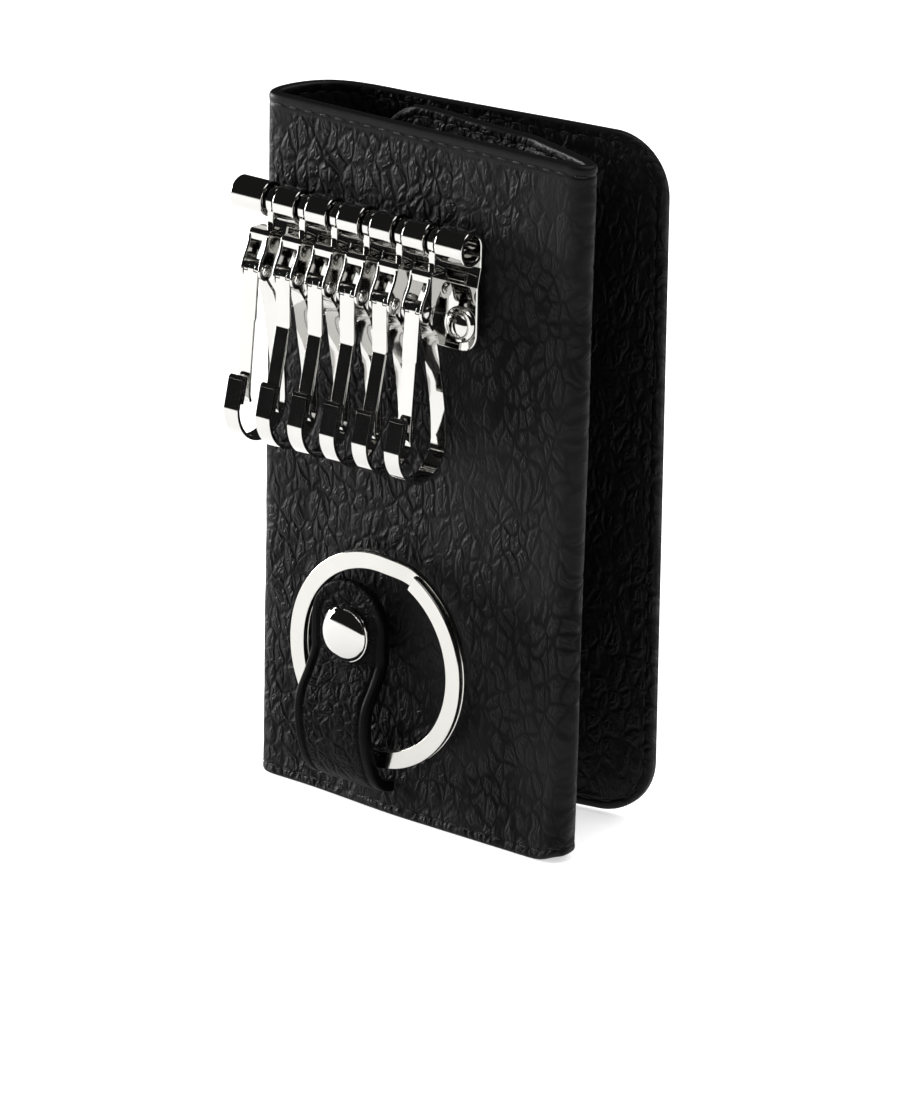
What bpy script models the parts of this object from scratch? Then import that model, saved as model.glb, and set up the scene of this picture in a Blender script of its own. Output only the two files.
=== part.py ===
"""Folding key case: six hooks on a slotted rail, a strap with a split ring, and two cover flaps folded back.

Metres, +Z up. +X runs along the panel from its left fold to its right fold, and the hooks face -Y.
Every piece is built in these axes, then the whole case is moved so that it stands centred on the origin.
"""

import math

import bmesh
import bpy
from mathutils import Matrix, Vector

# Cover leather
HEIGHT = 0.110
SHELL = 0.0009
LAYER_GAP = 0.0003
LINING = 0.0007
FOLD_CLEARANCE = 0.00015
PANEL_FRONT_Y = 0.0
FLAP_CORNER = 0.0095
CORNER_STEPS = 7

# Left spine: four slats on five creases, then the long flap behind
SPINE_X = 0.00115
SPINE_SLATS = (0.0043, 0.0043, 0.0043, 0.0077)
SPINE_BEND = math.radians(43.2)
OUTER_FLAP_LENGTH = 0.0561
OUTER_FLAP_CURL = math.radians(5.2)
FLAP_STEPS = 8
CORNER_FOLD_SLOPE = 1.0

# Right side: a narrow strip behind the tight fold, then the short flap
RIGHT_FOLD_X = 0.0622
RIGHT_FOLD_STANDOFF = 0.0001
GUSSET_LENGTH = 0.0179
GUSSET_HEADING = math.radians(162.2)
INNER_FLAP_LENGTH = 0.0330
INNER_FLAP_HEADING = math.radians(175.4)
INNER_FLAP_CURL = math.radians(-4)

# Hook rail
RAIL_STANDOFF = 0.0005
RAIL_WALL = 0.0008
BARREL_RADIUS = 0.00275
BARREL_BELOW_TOP = 0.0155
BARREL_LEFT_X = -0.00175
BARREL_RIGHT_X = 0.04245
BARREL_SEAM = math.radians(54)
RAIL_DROP = 0.0167
RAIL_CORNER = 0.0030
SLOT_WIDTH = 0.00195
SLOT_BELOW_BARREL = 0.0002
ROD_RADIUS = 0.0016
ROD_INSET = 0.0006

# Rivets through rail and panel
RIVET_XS = (0.0070, 0.0390)
RIVET_ABOVE_EDGE = 0.0042
RIVET_HEAD_RADIUS = 0.00325
RIVET_HEAD_HEIGHT = 0.0016
RIVET_RIM_SHARE = 0.32
RIVET_DOME_RADIUS_SHARE = 0.72
RIVET_SHANK_RADIUS = 0.0014
FIT_GAP = 0.0003
WASHER_RADIUS = 0.0034
WASHER_THICKNESS = 0.0005
PEEN_RADIUS = 0.0021
PEEN_HEIGHT = 0.0005

# Hook sets
HOOK_COUNT = 6
FIRST_HOOK_X = 0.0040
HOOK_PITCH = 0.0064
LOOP_CLEARANCE = 0.00015
LOOP_WALL = 0.00075
NECK_WIDTH = 0.0016
NECK_FORWARD = 0.0015
LOOP_OPEN_ANGLE = math.radians(30)
FORK_WIDTH = 0.0046
FORK_WALL = 0.0006
FORK_DROP = 0.0036
FORK_TOP_FRONT = 0.0050
FORK_TIP_DROP = 0.0125
FORK_TIP_FRONT = 0.0065
FORK_TIP_BACK = 0.0029
PIN_FORWARD = 0.00465
PIN_DROP = 0.0097
PIN_RADIUS = 0.00075
PIN_CLEARANCE = 0.0002
PIN_HEAD_RADIUS = 0.0011
PIN_HEAD_HEIGHT = 0.0003

# Hook strip, seen from the side: forward of and below the pin
STRIP = 0.00075
HOOK_WIDTH = 0.0029
KNUCKLE_WIDTH = 0.0015
KNUCKLE_WRAP_START = math.radians(215)
KNUCKLE_WRAP_END = math.radians(-12)
SHOULDER_BACK = 0.0018
SHOULDER_DROP = 0.0022
ELBOW_BACK = 0.0031
ELBOW_DROP = 0.0060
HOOK_LOOP_RADIUS = 0.0053
HOOK_LOOP_BACK = 0.0050
HOOK_LOOP_DROP = 0.0215
NOSE_LENGTH = 0.0050
NOSE_THICKNESS = 0.00125
NOSE_BELOW = 0.0004

# Gate
GATE_WIDTH = 0.0043
GATE_TIP_WIDTH = 0.0028
GATE_THICKNESS = 0.0006
EAR_OUTER = 0.0014
EAR_THICKNESS = 0.0004
EAR_RADIUS = 0.0014
EAR_ANGLES = (math.radians(-60), math.radians(150))
GATE_TOP = (0.0020, 0.0040)
GATE_KINK = (0.0018, 0.0120)
GATE_BELOW_KINK = (0.0025, 0.0169)
GATE_FRONT_CURL = (0.0033, 0.0193)
GATE_TIP = (0.0026, 0.0215)

# Ring strap: centre line seen from the side, as distance in front of the panel and height
STRAP_CENTRE_X = 0.0197
STRAP_WIDTH = 0.0146
STRAP_THICKNESS = 0.0016
STRAP_TOP = 0.0367
STRAP_CORNER = 0.0071
STRAP_ANCHOR = (0.0013, 0.0049)
STRAP_LINE = (
    (0.0036, 0.0056),
    (0.0054, 0.0077),
    (0.0069, 0.0115),
    (0.0075, 0.0157),
    (0.0069, 0.0192),
    (0.0052, 0.0216),
)
STRAP_FLAT_DISTANCE = 0.0037
STRAP_FLAT_START = 0.0240
STRAP_SUBSTEPS = 3

# Press stud on the strap
SNAP_Z = 0.0290
SNAP_CAP_RADIUS = 0.0045
SNAP_CAP_HEIGHT = 0.0012
SNAP_RIM_SHARE = 0.3
SNAP_SHANK_RADIUS = 0.0012
SOCKET_RADIUS = 0.0038
SOCKET_HOLE = 0.0021
SOCKET_THICKNESS = 0.0010
STUD_RADIUS = 0.0039
STUD_FLANGE = 0.0005
STUD_POST_RADIUS = 0.0016
STUD_POST_HEIGHT = 0.0010

# Hidden press stud that holds the two flaps shut
CLOSURE_FROM_FLAP_END = 0.0225
CLOSURE_FROM_INNER_FOLD = 0.0307

# Split ring of flat wire, two coils
RING_CENTRE_X = 0.0256
RING_CENTRE_Z = 0.0259
RING_CENTRE_DISTANCE = 0.0034
RING_RADIUS = 0.01735
RING_BAND = 0.0028
RING_WIRE = 0.00098
RING_COIL_GAP = 0.00016
RING_COILS = 2
RING_STEP_ANGLE = math.radians(20)
RING_END_GAP = math.radians(1.5)
RING_SPLIT_AT = math.radians(75)
RING_STATION_ANGLE = math.radians(8)

# Fineness of round shapes
ROUND_SIDES = 24
SMALL_SIDES = 16
DOME_STEPS = 4
CUT_OVERRUN = 0.002
CUT_REACH = 0.020
OVERLAP = 0.0003
HALF = 0.5
SMOOTH_ANGLE = math.radians(35)

# Worked out from the sizes above
THICKNESS = SHELL + LAYER_GAP + LINING
MID_Y = PANEL_FRONT_Y + THICKNESS * HALF
PANEL_BACK_Y = PANEL_FRONT_Y + THICKNESS
RIGHT_FOLD_Y = PANEL_BACK_Y + RIGHT_FOLD_STANDOFF
BARREL_Z = HEIGHT - BARREL_BELOW_TOP
CLOSURE_Z = HEIGHT * HALF
PLATE_MID_Y = PANEL_FRONT_Y - RAIL_STANDOFF - RAIL_WALL * HALF
BARREL_Y = PANEL_FRONT_Y - RAIL_STANDOFF - BARREL_RADIUS
RAIL_BOTTOM_Z = BARREL_Z - RAIL_DROP
RAIL_FRONT_Y = PANEL_FRONT_Y - RAIL_STANDOFF - RAIL_WALL
PIN_Y = BARREL_Y - PIN_FORWARD
PIN_Z = BARREL_Z - PIN_DROP
RIVET_Z = RAIL_BOTTOM_Z + RIVET_ABOVE_EDGE
GATE_LINE = (GATE_TOP, GATE_KINK, GATE_BELOW_KINK, GATE_FRONT_CURL, GATE_TIP)

FINISHES = {
    "cover": ((0.020, 0.019, 0.020, 1.0), 0.55, 0.0),
    "lining": ((0.030, 0.028, 0.028, 1.0), 0.60, 0.0),
    "nickel": ((0.78, 0.77, 0.75, 1.0), 0.16, 1.0),
    "steel": ((0.62, 0.62, 0.63, 1.0), 0.28, 1.0),
    "ring": ((0.74, 0.74, 0.76, 1.0), 0.22, 1.0),
}


# Mesh helpers
def clear_scene():
    """Removes everything that the startup file brings."""
    for thing in list(bpy.data.objects):
        bpy.data.objects.remove(thing)


def material(kind):
    """The material of one kind of surface, made once for each piece that asks."""
    colour, roughness, metallic = FINISHES[kind]
    made = bpy.data.materials.new(kind)
    made.use_nodes = True
    shader = made.node_tree.nodes["Principled BSDF"]
    shader.inputs["Base Color"].default_value = colour
    shader.inputs["Roughness"].default_value = roughness
    shader.inputs["Metallic"].default_value = metallic
    return made


def add_solid(name, points, faces, kind):
    """An object from points and faces, with its normals facing out and its own material."""
    mesh = bpy.data.meshes.new(name)
    mesh.from_pydata([tuple(point) for point in points], [], faces)
    shape = bmesh.new()
    shape.from_mesh(mesh)
    bmesh.ops.recalc_face_normals(shape, faces=shape.faces)
    shape.to_mesh(mesh)
    shape.free()
    thing = bpy.data.objects.new(name, mesh)
    mesh.materials.append(material(kind))
    bpy.context.scene.collection.objects.link(thing)
    shade(thing)
    return thing


def shade(thing):
    """Smooth shading that keeps the sharp edges."""
    thing.data.shade_smooth()
    thing.data.set_sharp_from_angle(angle=SMOOTH_ANGLE)


def loft(name, sections, kind):
    """A solid through sections that all have the same number of points."""
    size = len(sections[0])
    points = [point for section in sections for point in section]
    faces = []
    for span in range(len(sections) - 1):
        here, there = span * size, (span + 1) * size
        for side in range(size):
            after = (side + 1) % size
            faces.append((here + side, here + after, there + after, there + side))
    faces.append(tuple(range(size)))
    faces.append(tuple(range(len(points) - size, len(points))))
    return add_solid(name, points, faces, kind)


def along_x(name, outline, left, right, kind):
    """A prism across the case, from an outline of (y, z) points."""
    return loft(name, [[(x, y, z) for y, z in outline] for x in (left, right)], kind)


def along_y(name, outline, front, back, kind):
    """A prism through the case, from an outline of (x, z) points."""
    return loft(name, [[(x, y, z) for x, z in outline] for y in (front, back)], kind)


def box(name, low, high, kind):
    """A block between two corners."""
    outline = [(low[0], low[2]), (high[0], low[2]), (high[0], high[2]), (low[0], high[2])]
    return along_y(name, outline, low[1], high[1], kind)


def circle(centre, radius, sides, start=0.0, end=math.tau, closed=False):
    """Points on an arc. A closed circle leaves out the last point, which repeats the first."""
    count = sides if closed else sides + 1
    turns = [start + (end - start) * step / sides for step in range(count)]
    return [(centre[0] + radius * math.cos(turn), centre[1] + radius * math.sin(turn)) for turn in turns]


def turned(name, profile, centre, direction, kind, sides=ROUND_SIDES):
    """A turned solid. The profile lists (radius, distance along the axis); radius zero closes an end."""
    axis = Vector(direction).normalized()
    across = Vector((0, 0, 1)) if abs(axis.z) < abs(axis.y) + abs(axis.x) else Vector((1, 0, 0))
    other = axis.cross(across)
    points, rings = [], []
    for radius, distance in profile:
        count = sides if radius else 1
        rings.append([len(points) + step for step in range(count)])
        for step in range(count):
            turn = math.tau * step / sides
            spoke = across * math.cos(turn) + other * math.sin(turn)
            points.append(Vector(centre) + axis * distance + spoke * radius)
    pairs = list(zip(rings, rings[1:]))
    if profile[0][0]:
        pairs.append((rings[-1], rings[0]))
    faces = [face for near, far in pairs for face in ring_faces(near, far)]
    return add_solid(name, points, faces, kind)


def ring_faces(near, far):
    """The faces between two rings of a turned solid, one of which may be a single point."""
    count = max(len(near), len(far))
    faces = []
    for step in range(count):
        after = (step + 1) % count
        corners = [near[step % len(near)], near[after % len(near)]]
        corners += [far[after % len(far)], far[step % len(far)]]
        faces.append(tuple(dict.fromkeys(corners)))
    return [face for face in faces if len(face) > 2]


def combine(target, tool, operation):
    """Applies a Boolean with another solid, which is then used up."""
    tool.hide_render = True
    tool.display_type = "WIRE"
    step = target.modifiers.new(operation.title(), "BOOLEAN")
    step.operation = operation
    step.solver = "EXACT"
    step.object = tool
    bpy.context.view_layer.update()
    graph = bpy.context.evaluated_depsgraph_get()
    mesh = bpy.data.meshes.new_from_object(target.evaluated_get(graph))
    target.modifiers.clear()
    target.data = mesh
    bpy.data.objects.remove(tool)
    shade(target)
    return target


def cut(target, tool):
    return combine(target, tool, "DIFFERENCE")


def join(target, tool):
    return combine(target, tool, "UNION")


def keep_inside(target, tool):
    return combine(target, tool, "INTERSECT")


def set_origin(thing, place):
    """Moves the origin of an object to a place, here a point on its joint axis."""
    thing.data.transform(Matrix.Translation(-Vector(place)))
    thing.location = place
    return thing


def copy_of(thing, name, shift):
    """A separate object with its own mesh and material, moved by a shift."""
    twin = thing.copy()
    twin.data = thing.data.copy()
    twin.name = name
    twin.data.name = name
    twin.data.materials[0] = thing.data.materials[0].copy()
    twin.location = Vector(thing.location) + Vector(shift)
    bpy.context.scene.collection.objects.link(twin)
    return twin


# Outlines of bent strip
def ribbon(line, halves):
    """The closed outline of a strip along a line, with half its thickness given at each point."""
    left, right = [], []
    for place, (here, half) in enumerate(zip(line, halves)):
        before = Vector(line[max(place - 1, 0)])
        after = Vector(line[min(place + 1, len(line) - 1)])
        into, out = Vector(here) - before, after - Vector(here)
        into = into if into.length else out
        out = out if out.length else into
        square = into.normalized().orthogonal()
        normal = (square + out.normalized().orthogonal()).normalized()
        reach = half / normal.dot(square)
        left.append(tuple(Vector(here) + normal * reach))
        right.append(tuple(Vector(here) - normal * reach))
    return left + right[::-1]


def even_ribbon(line, thickness):
    return ribbon(line, [thickness * HALF] * len(line))


def smooth_line(points, substeps):
    """A Catmull-Rom curve through the points."""
    ends = [points[0], *points, points[-1]]
    line = []
    for a, b, c, d in zip(ends, ends[1:], ends[2:], ends[3:]):
        for step in range(substeps):
            line.append(blend_four(a, b, c, d, step / substeps))
    return line + [tuple(points[-1])]


def blend_four(a, b, c, d, share):
    """The point at a share of the way from b to c, on the curve that a and d steer."""
    a, b, c, d = Vector(a), Vector(b), Vector(c), Vector(d)
    slope_b, slope_c = (c - a) * HALF, (d - b) * HALF
    ease = share * share * (1 + (1 - share) + (1 - share))
    rise = share * (1 - share)
    return tuple(b + (c - b) * ease + slope_b * rise * (1 - share) - slope_c * rise * share)


def rounded_rectangle(left, right, bottom, top, radii):
    """An outline of (x, z) points. The radii go bottom left, bottom right, top right, top left."""
    corners = []
    quarter = math.pi * HALF
    places = ((left, bottom, 1, 1), (right, bottom, -1, 1), (right, top, -1, -1), (left, top, 1, -1))
    for turn, ((x, z, inward_x, inward_z), radius) in enumerate(zip(places, radii)):
        start = math.pi + turn * quarter
        centre = (x + inward_x * radius, z + inward_z * radius)
        corners += circle(centre, radius, CORNER_STEPS, start, start + quarter) if radius else [(x, z)]
    return corners


# Cover leather
def heading_vector(heading):
    return Vector((math.cos(heading), math.sin(heading)))


def left_of(heading):
    return Vector((-math.sin(heading), math.cos(heading)))


class Run:
    """The middle line of one stretch of cover, seen from above, and how its ends meet the next creases."""

    def __init__(self, start, heading, length, curl=0.0, start_slopes=(0, 0), end_slopes=(0, 0)):
        self.start = Vector(start)
        self.heading = heading
        self.length = length
        self.curl = curl
        self.start_slopes = start_slopes
        self.end_slopes = end_slopes
        self.start_pivot = 0.0
        self.end_pivot = 0.0
        self.start_free = False
        self.end_free = False

    def heading_at(self, distance):
        return self.heading - self.curl * distance / self.length

    def point(self, distance):
        """The place at a distance from the start, on an arc when the run is curled."""
        if not self.curl:
            return self.start + heading_vector(self.heading) * distance
        chord_heading = self.heading - self.curl * distance / self.length * HALF
        return self.start + heading_vector(chord_heading) * distance

    def end(self):
        return self.point(self.length)

    def trim(self, offset, slopes, pivot, free):
        """How far an end is cut back at an offset to the left, so that the crease can close."""
        if free:
            return 0.0
        left_slope, right_slope = slopes
        beside = offset - pivot
        return FOLD_CLEARANCE + (left_slope * beside if beside > 0 else -right_slope * beside)

    def distances(self):
        """Stations along the run, closer together where a free end is rounded."""
        steps = FLAP_STEPS if self.curl else 1
        reach = self.length - (FLAP_CORNER if self.end_free else 0.0)
        stations = [reach * step / steps for step in range(steps + 1)]
        if self.end_free:
            quarter = math.pi * HALF
            turns = [quarter * step / CORNER_STEPS for step in range(1, CORNER_STEPS + 1)]
            stations += [reach + FLAP_CORNER * math.sin(turn) for turn in turns]
        return stations

    def corner_inset(self, distance):
        """How much lower the edge is near a free end, where the corner is rounded."""
        past = distance - (self.length - FLAP_CORNER)
        if not self.end_free or past <= 0:
            return 0.0
        return FLAP_CORNER - math.sqrt(max(FLAP_CORNER**2 - past**2, 0.0))

    def layer(self, name, low, high, kind):
        """The leather between two offsets to the left of the middle line, over the full height."""
        sections = []
        distances = self.distances()
        for distance in distances:
            section = []
            inset = self.corner_inset(distance)
            for offset in (low, high):
                along = distance
                if distance == distances[0]:
                    along += self.trim(offset, self.start_slopes, self.start_pivot, self.start_free)
                if distance == distances[-1]:
                    along -= self.trim(offset, self.end_slopes, self.end_pivot, self.end_free)
                place = self.point(along) + left_of(self.heading_at(along)) * offset
                section.append((place, inset))
            (near, _), (far, _) = section
            sections.append(
                [
                    (near.x, near.y, inset),
                    (far.x, far.y, inset),
                    (far.x, far.y, HEIGHT - inset),
                    (near.x, near.y, HEIGHT - inset),
                ]
            )
        return loft(name, sections, kind)

    def layers(self, stem, shell_on_left):
        """Shell and lining of the run. The shell is the outer leather of the closed case."""
        side = 1 if shell_on_left else -1
        inner_shell = THICKNESS * HALF - SHELL
        inner_lining = THICKNESS * HALF - LINING
        names = (f"{stem}_leather", f"{stem}_lining")
        shell = self.layer(names[0], *sorted((side * inner_shell, side * THICKNESS * HALF)), "cover")
        lining = self.layer(names[1], *sorted((-side * inner_lining, -side * THICKNESS * HALF)), "lining")
        return shell, lining


def spine_runs():
    """The four slats of the left spine and the long flap, from the panel round to the back."""
    crease_slope = math.tan(SPINE_BEND * HALF)
    plain = (0.0, crease_slope)
    folding = (CORNER_FOLD_SLOPE, crease_slope)
    flat_to_corner = (CORNER_FOLD_SLOPE, 0.0)
    creases = (plain, folding, plain, plain, flat_to_corner)
    runs = []
    place, heading = Vector((SPINE_X, MID_Y)), math.pi
    for number, length in enumerate(SPINE_SLATS):
        heading -= SPINE_BEND
        run = Run(place, heading, length, 0.0, creases[number], creases[number + 1])
        runs.append(run)
        place = run.end()
    flap = Run(place, heading, OUTER_FLAP_LENGTH, OUTER_FLAP_CURL, creases[-1])
    flap.end_free = True
    return runs, flap


def panel_run():
    """The panel between the left crease and the right fold."""
    crease_slope = math.tan(SPINE_BEND * HALF)
    run = Run((SPINE_X, MID_Y), 0.0, RIGHT_FOLD_X - SPINE_X, 0.0, (crease_slope, 0.0))
    run.end_slopes = (0.0, CORNER_FOLD_SLOPE)
    run.end_pivot = RIGHT_FOLD_Y - MID_Y
    return run


def right_runs():
    """The narrow strip behind the right fold and the short flap that follows it."""
    pivot = RIGHT_FOLD_Y - MID_Y
    start = Vector((RIGHT_FOLD_X, RIGHT_FOLD_Y)) - left_of(GUSSET_HEADING) * pivot
    gusset = Run(start, GUSSET_HEADING, GUSSET_LENGTH, 0.0, (0.0, CORNER_FOLD_SLOPE))
    gusset.start_pivot = pivot
    crease_slope = math.tan((INNER_FLAP_HEADING - GUSSET_HEADING) * HALF)
    gusset.end_slopes = (crease_slope, CORNER_FOLD_SLOPE)
    flap = Run(gusset.end(), INNER_FLAP_HEADING, INNER_FLAP_LENGTH, INNER_FLAP_CURL, gusset.end_slopes)
    flap.end_free = True
    return gusset, flap


def cover_leather():
    """All leather of the case, each stretch with its origin on the crease that it turns about."""
    made = {"panel": panel_run().layers("panel", shell_on_left=True)}
    slats, outer = spine_runs()
    for number, run in enumerate(slats, 1):
        pair = run.layers(f"spine_{number}", shell_on_left=False)
        made[f"spine_{number}"] = [set_origin(layer, (*run.start, 0)) for layer in pair]
    pair = outer.layers("outer_flap", shell_on_left=False)
    made["outer_flap"] = [set_origin(layer, (*outer.start, 0)) for layer in pair]
    gusset, inner = right_runs()
    pair = gusset.layers("gusset", shell_on_left=True)
    made["gusset"] = [set_origin(layer, (RIGHT_FOLD_X, RIGHT_FOLD_Y, 0)) for layer in pair]
    pair = inner.layers("inner_flap", shell_on_left=True)
    made["inner_flap"] = [set_origin(layer, (*inner.start, 0)) for layer in pair]
    return made


# Fasteners
def dome_profile(radius, base, height, steps=DOME_STEPS):
    """A shallow dome from its rim to its crown, as (radius, distance) points."""
    quarter = math.pi * HALF
    turns = [quarter * step / steps for step in range(steps + 1)]
    points = [(radius * math.cos(turn), base + height * math.sin(turn)) for turn in turns]
    return points[:-1] + [(0.0, base + height)]


def drill(layers, centre, direction, radius, depth):
    """Cuts one round hole through each of the layers."""
    for layer in layers:
        profile = ((0.0, -depth), (radius, -depth), (radius, depth), (0.0, depth))
        cut(layer, turned("drill", profile, centre, direction, "steel", SMALL_SIDES))


def peened_shank(radius, head_distance, end_distance):
    """Points of a shank with a peened end behind the leather, from the far end towards the head."""
    return [
        (0.0, end_distance - PEEN_HEIGHT),
        (PEEN_RADIUS, end_distance - PEEN_HEIGHT),
        (PEEN_RADIUS, end_distance),
        (radius, end_distance),
        (radius, head_distance),
    ]


def washer(name, centre, direction, hole, kind="steel"):
    """A flat ring whose far face lies at the centre given."""
    inner = hole + FIT_GAP * HALF
    profile = (
        (inner, 0.0),
        (WASHER_RADIUS, 0.0),
        (WASHER_RADIUS, WASHER_THICKNESS),
        (inner, WASHER_THICKNESS),
    )
    return turned(name, profile, centre, direction, kind)


def rivets(panel, rail):
    """The two stepped rivets of the rail, their washers and the holes they pass."""
    forward = (0, -1, 0)
    washer_back = PANEL_BACK_Y + FIT_GAP + WASHER_THICKNESS
    for side, x in zip(("left", "right"), RIVET_XS):
        centre = (x, RAIL_FRONT_Y, RIVET_Z)
        rim = RIVET_HEAD_HEIGHT * RIVET_RIM_SHARE
        profile = peened_shank(RIVET_SHANK_RADIUS, FIT_GAP, RAIL_FRONT_Y - washer_back - FIT_GAP)
        profile += [(RIVET_HEAD_RADIUS, FIT_GAP), (RIVET_HEAD_RADIUS, FIT_GAP + rim)]
        dome_radius = RIVET_HEAD_RADIUS * RIVET_DOME_RADIUS_SHARE
        profile += dome_profile(dome_radius, FIT_GAP + rim, RIVET_HEAD_HEIGHT - rim)
        turned(f"rail_rivet_{side}", profile, centre, forward, "nickel")
        washer(f"rivet_washer_{side}", (x, washer_back, RIVET_Z), forward, RIVET_SHANK_RADIUS)
        hole = RIVET_SHANK_RADIUS + FIT_GAP
        drill([*panel, rail], (x, PANEL_BACK_Y, RIVET_Z), forward, hole, PANEL_BACK_Y - RAIL_FRONT_Y)


# Rail and rod
def hook_xs():
    return [FIRST_HOOK_X + HOOK_PITCH * number for number in range(HOOK_COUNT)]


def hook_rail():
    """A plate whose top is rolled into a barrel, with a slot for each hanger."""
    middle = BARREL_RADIUS - RAIL_WALL * HALF
    roll = circle((BARREL_Y, BARREL_Z), middle, ROUND_SIDES, 0.0, math.tau - BARREL_SEAM)
    line = [(PLATE_MID_Y, RAIL_BOTTOM_Z), *roll]
    rail = along_x("hook_rail", even_ribbon(line, RAIL_WALL), BARREL_LEFT_X, BARREL_RIGHT_X, "nickel")
    top = BARREL_Z + BARREL_RADIUS + CUT_OVERRUN
    radii = (RAIL_CORNER, RAIL_CORNER, 0, 0)
    outline = rounded_rectangle(BARREL_LEFT_X, BARREL_RIGHT_X, RAIL_BOTTOM_Z, top, radii)
    keep_inside(rail, along_y("rail_shape", outline, -CUT_REACH, PANEL_BACK_Y, "nickel"))
    for x in hook_xs():
        low = (x - SLOT_WIDTH * HALF, -CUT_REACH, BARREL_Z - BARREL_RADIUS - SLOT_BELOW_BARREL)
        high = (x + SLOT_WIDTH * HALF, PANEL_BACK_Y, top)
        cut(rail, box("slot", low, high, "nickel"))
    return rail


def hook_rod():
    """The rod that the hangers turn on, set back a little from both ends of the barrel."""
    length = BARREL_RIGHT_X - BARREL_LEFT_X - ROD_INSET - ROD_INSET
    profile = ((0.0, 0.0), (ROD_RADIUS, 0.0), (ROD_RADIUS, length), (0.0, length))
    turned("hook_rod", profile, (BARREL_LEFT_X + ROD_INSET, BARREL_Y, BARREL_Z), (1, 0, 0), "steel")


# Hook sets, each modelled at the first place and copied along the rod
def hanger(x):
    """A loop round the rod, a neck, and a fork that is open below, in front and behind."""
    radius = ROD_RADIUS + LOOP_CLEARANCE + LOOP_WALL * HALF
    neck_y = BARREL_Y - NECK_FORWARD
    neck_z = BARREL_Z - FORK_DROP
    start = -math.pi * HALF + LOOP_OPEN_ANGLE
    end = math.pi + math.acos(NECK_FORWARD / radius)
    loop = circle((BARREL_Y, BARREL_Z), radius, ROUND_SIDES, start, end)
    line = [*loop, (neck_y, neck_z - OVERLAP)]
    half = NECK_WIDTH * HALF
    body = along_x("hanger_1", even_ribbon(line, LOOP_WALL), x - half, x + half, "steel")
    tip_z = BARREL_Z - FORK_TIP_DROP
    tip_round = (FORK_TIP_FRONT - FORK_TIP_BACK) * HALF
    tip = (BARREL_Y - FORK_TIP_BACK - tip_round, tip_z + tip_round)
    side = [(BARREL_Y, neck_z), (BARREL_Y, neck_z - FORK_WALL)]
    side += circle(tip, tip_round, SMALL_SIDES, 0.0, -math.pi)
    side += [(BARREL_Y - FORK_TOP_FRONT, neck_z)]
    half = FORK_WIDTH * HALF
    fork = along_x("fork", side, x - half, x + half, "steel")
    inside = half - FORK_WALL
    low = (x - inside, -CUT_REACH, tip_z - CUT_OVERRUN)
    high = (x + inside, BARREL_Y + CUT_OVERRUN, neck_z - FORK_WALL)
    cut(fork, box("fork_gap", low, high, "steel"))
    drill([fork], (x, PIN_Y, PIN_Z), (1, 0, 0), PIN_RADIUS + PIN_CLEARANCE, FORK_WIDTH)
    join(body, fork)
    return set_origin(body, (x, BARREL_Y, BARREL_Z))


def hook_pin(x):
    """The cross pin with a flat head outside each cheek."""
    cheek = FORK_WIDTH * HALF + PIN_CLEARANCE
    head = cheek + PIN_HEAD_HEIGHT
    profile = (
        (0.0, -head),
        (PIN_HEAD_RADIUS, -head),
        (PIN_HEAD_RADIUS, -cheek),
        (PIN_RADIUS, -cheek),
        (PIN_RADIUS, cheek),
        (PIN_HEAD_RADIUS, cheek),
        (PIN_HEAD_RADIUS, head),
        (0.0, head),
    )
    pin = turned("hook_pin_1", profile, (x, PIN_Y, PIN_Z), (1, 0, 0), "steel", SMALL_SIDES)
    return set_origin(pin, (x, BARREL_Y, BARREL_Z))


def hook(x):
    """A bent strip: knuckle round the pin, back branch, round bottom and a folded nose."""
    knuckle_radius = PIN_RADIUS + PIN_CLEARANCE + STRIP * HALF
    shoulder = (PIN_Y + SHOULDER_BACK, PIN_Z - SHOULDER_DROP)
    elbow = (PIN_Y + ELBOW_BACK, PIN_Z - ELBOW_DROP)
    wrap = circle((PIN_Y, PIN_Z), knuckle_radius, SMALL_SIDES, KNUCKLE_WRAP_START, KNUCKLE_WRAP_END)
    half = KNUCKLE_WIDTH * HALF
    narrow = even_ribbon([*wrap, shoulder, elbow], STRIP)
    body = along_x("hook_1", narrow, x - half, x + half, "nickel")
    bottom = (PIN_Y + HOOK_LOOP_BACK - HOOK_LOOP_RADIUS, PIN_Z - HOOK_LOOP_DROP)
    bend = circle(bottom, HOOK_LOOP_RADIUS, SMALL_SIDES, 0.0, -math.pi)
    front_y = bottom[0] - HOOK_LOOP_RADIUS
    nose = [(front_y, bottom[1] - NOSE_BELOW + share * (NOSE_LENGTH + NOSE_BELOW)) for share in (0, 1)]
    line = [shoulder, elbow, *bend]
    half = HOOK_WIDTH * HALF
    join(body, along_x("branch", even_ribbon(line, STRIP), x - half, x + half, "nickel"))
    join(body, along_x("nose", even_ribbon(nose, NOSE_THICKNESS), x - half, x + half, "nickel"))
    return set_origin(body, (x, PIN_Y, PIN_Z))


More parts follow.
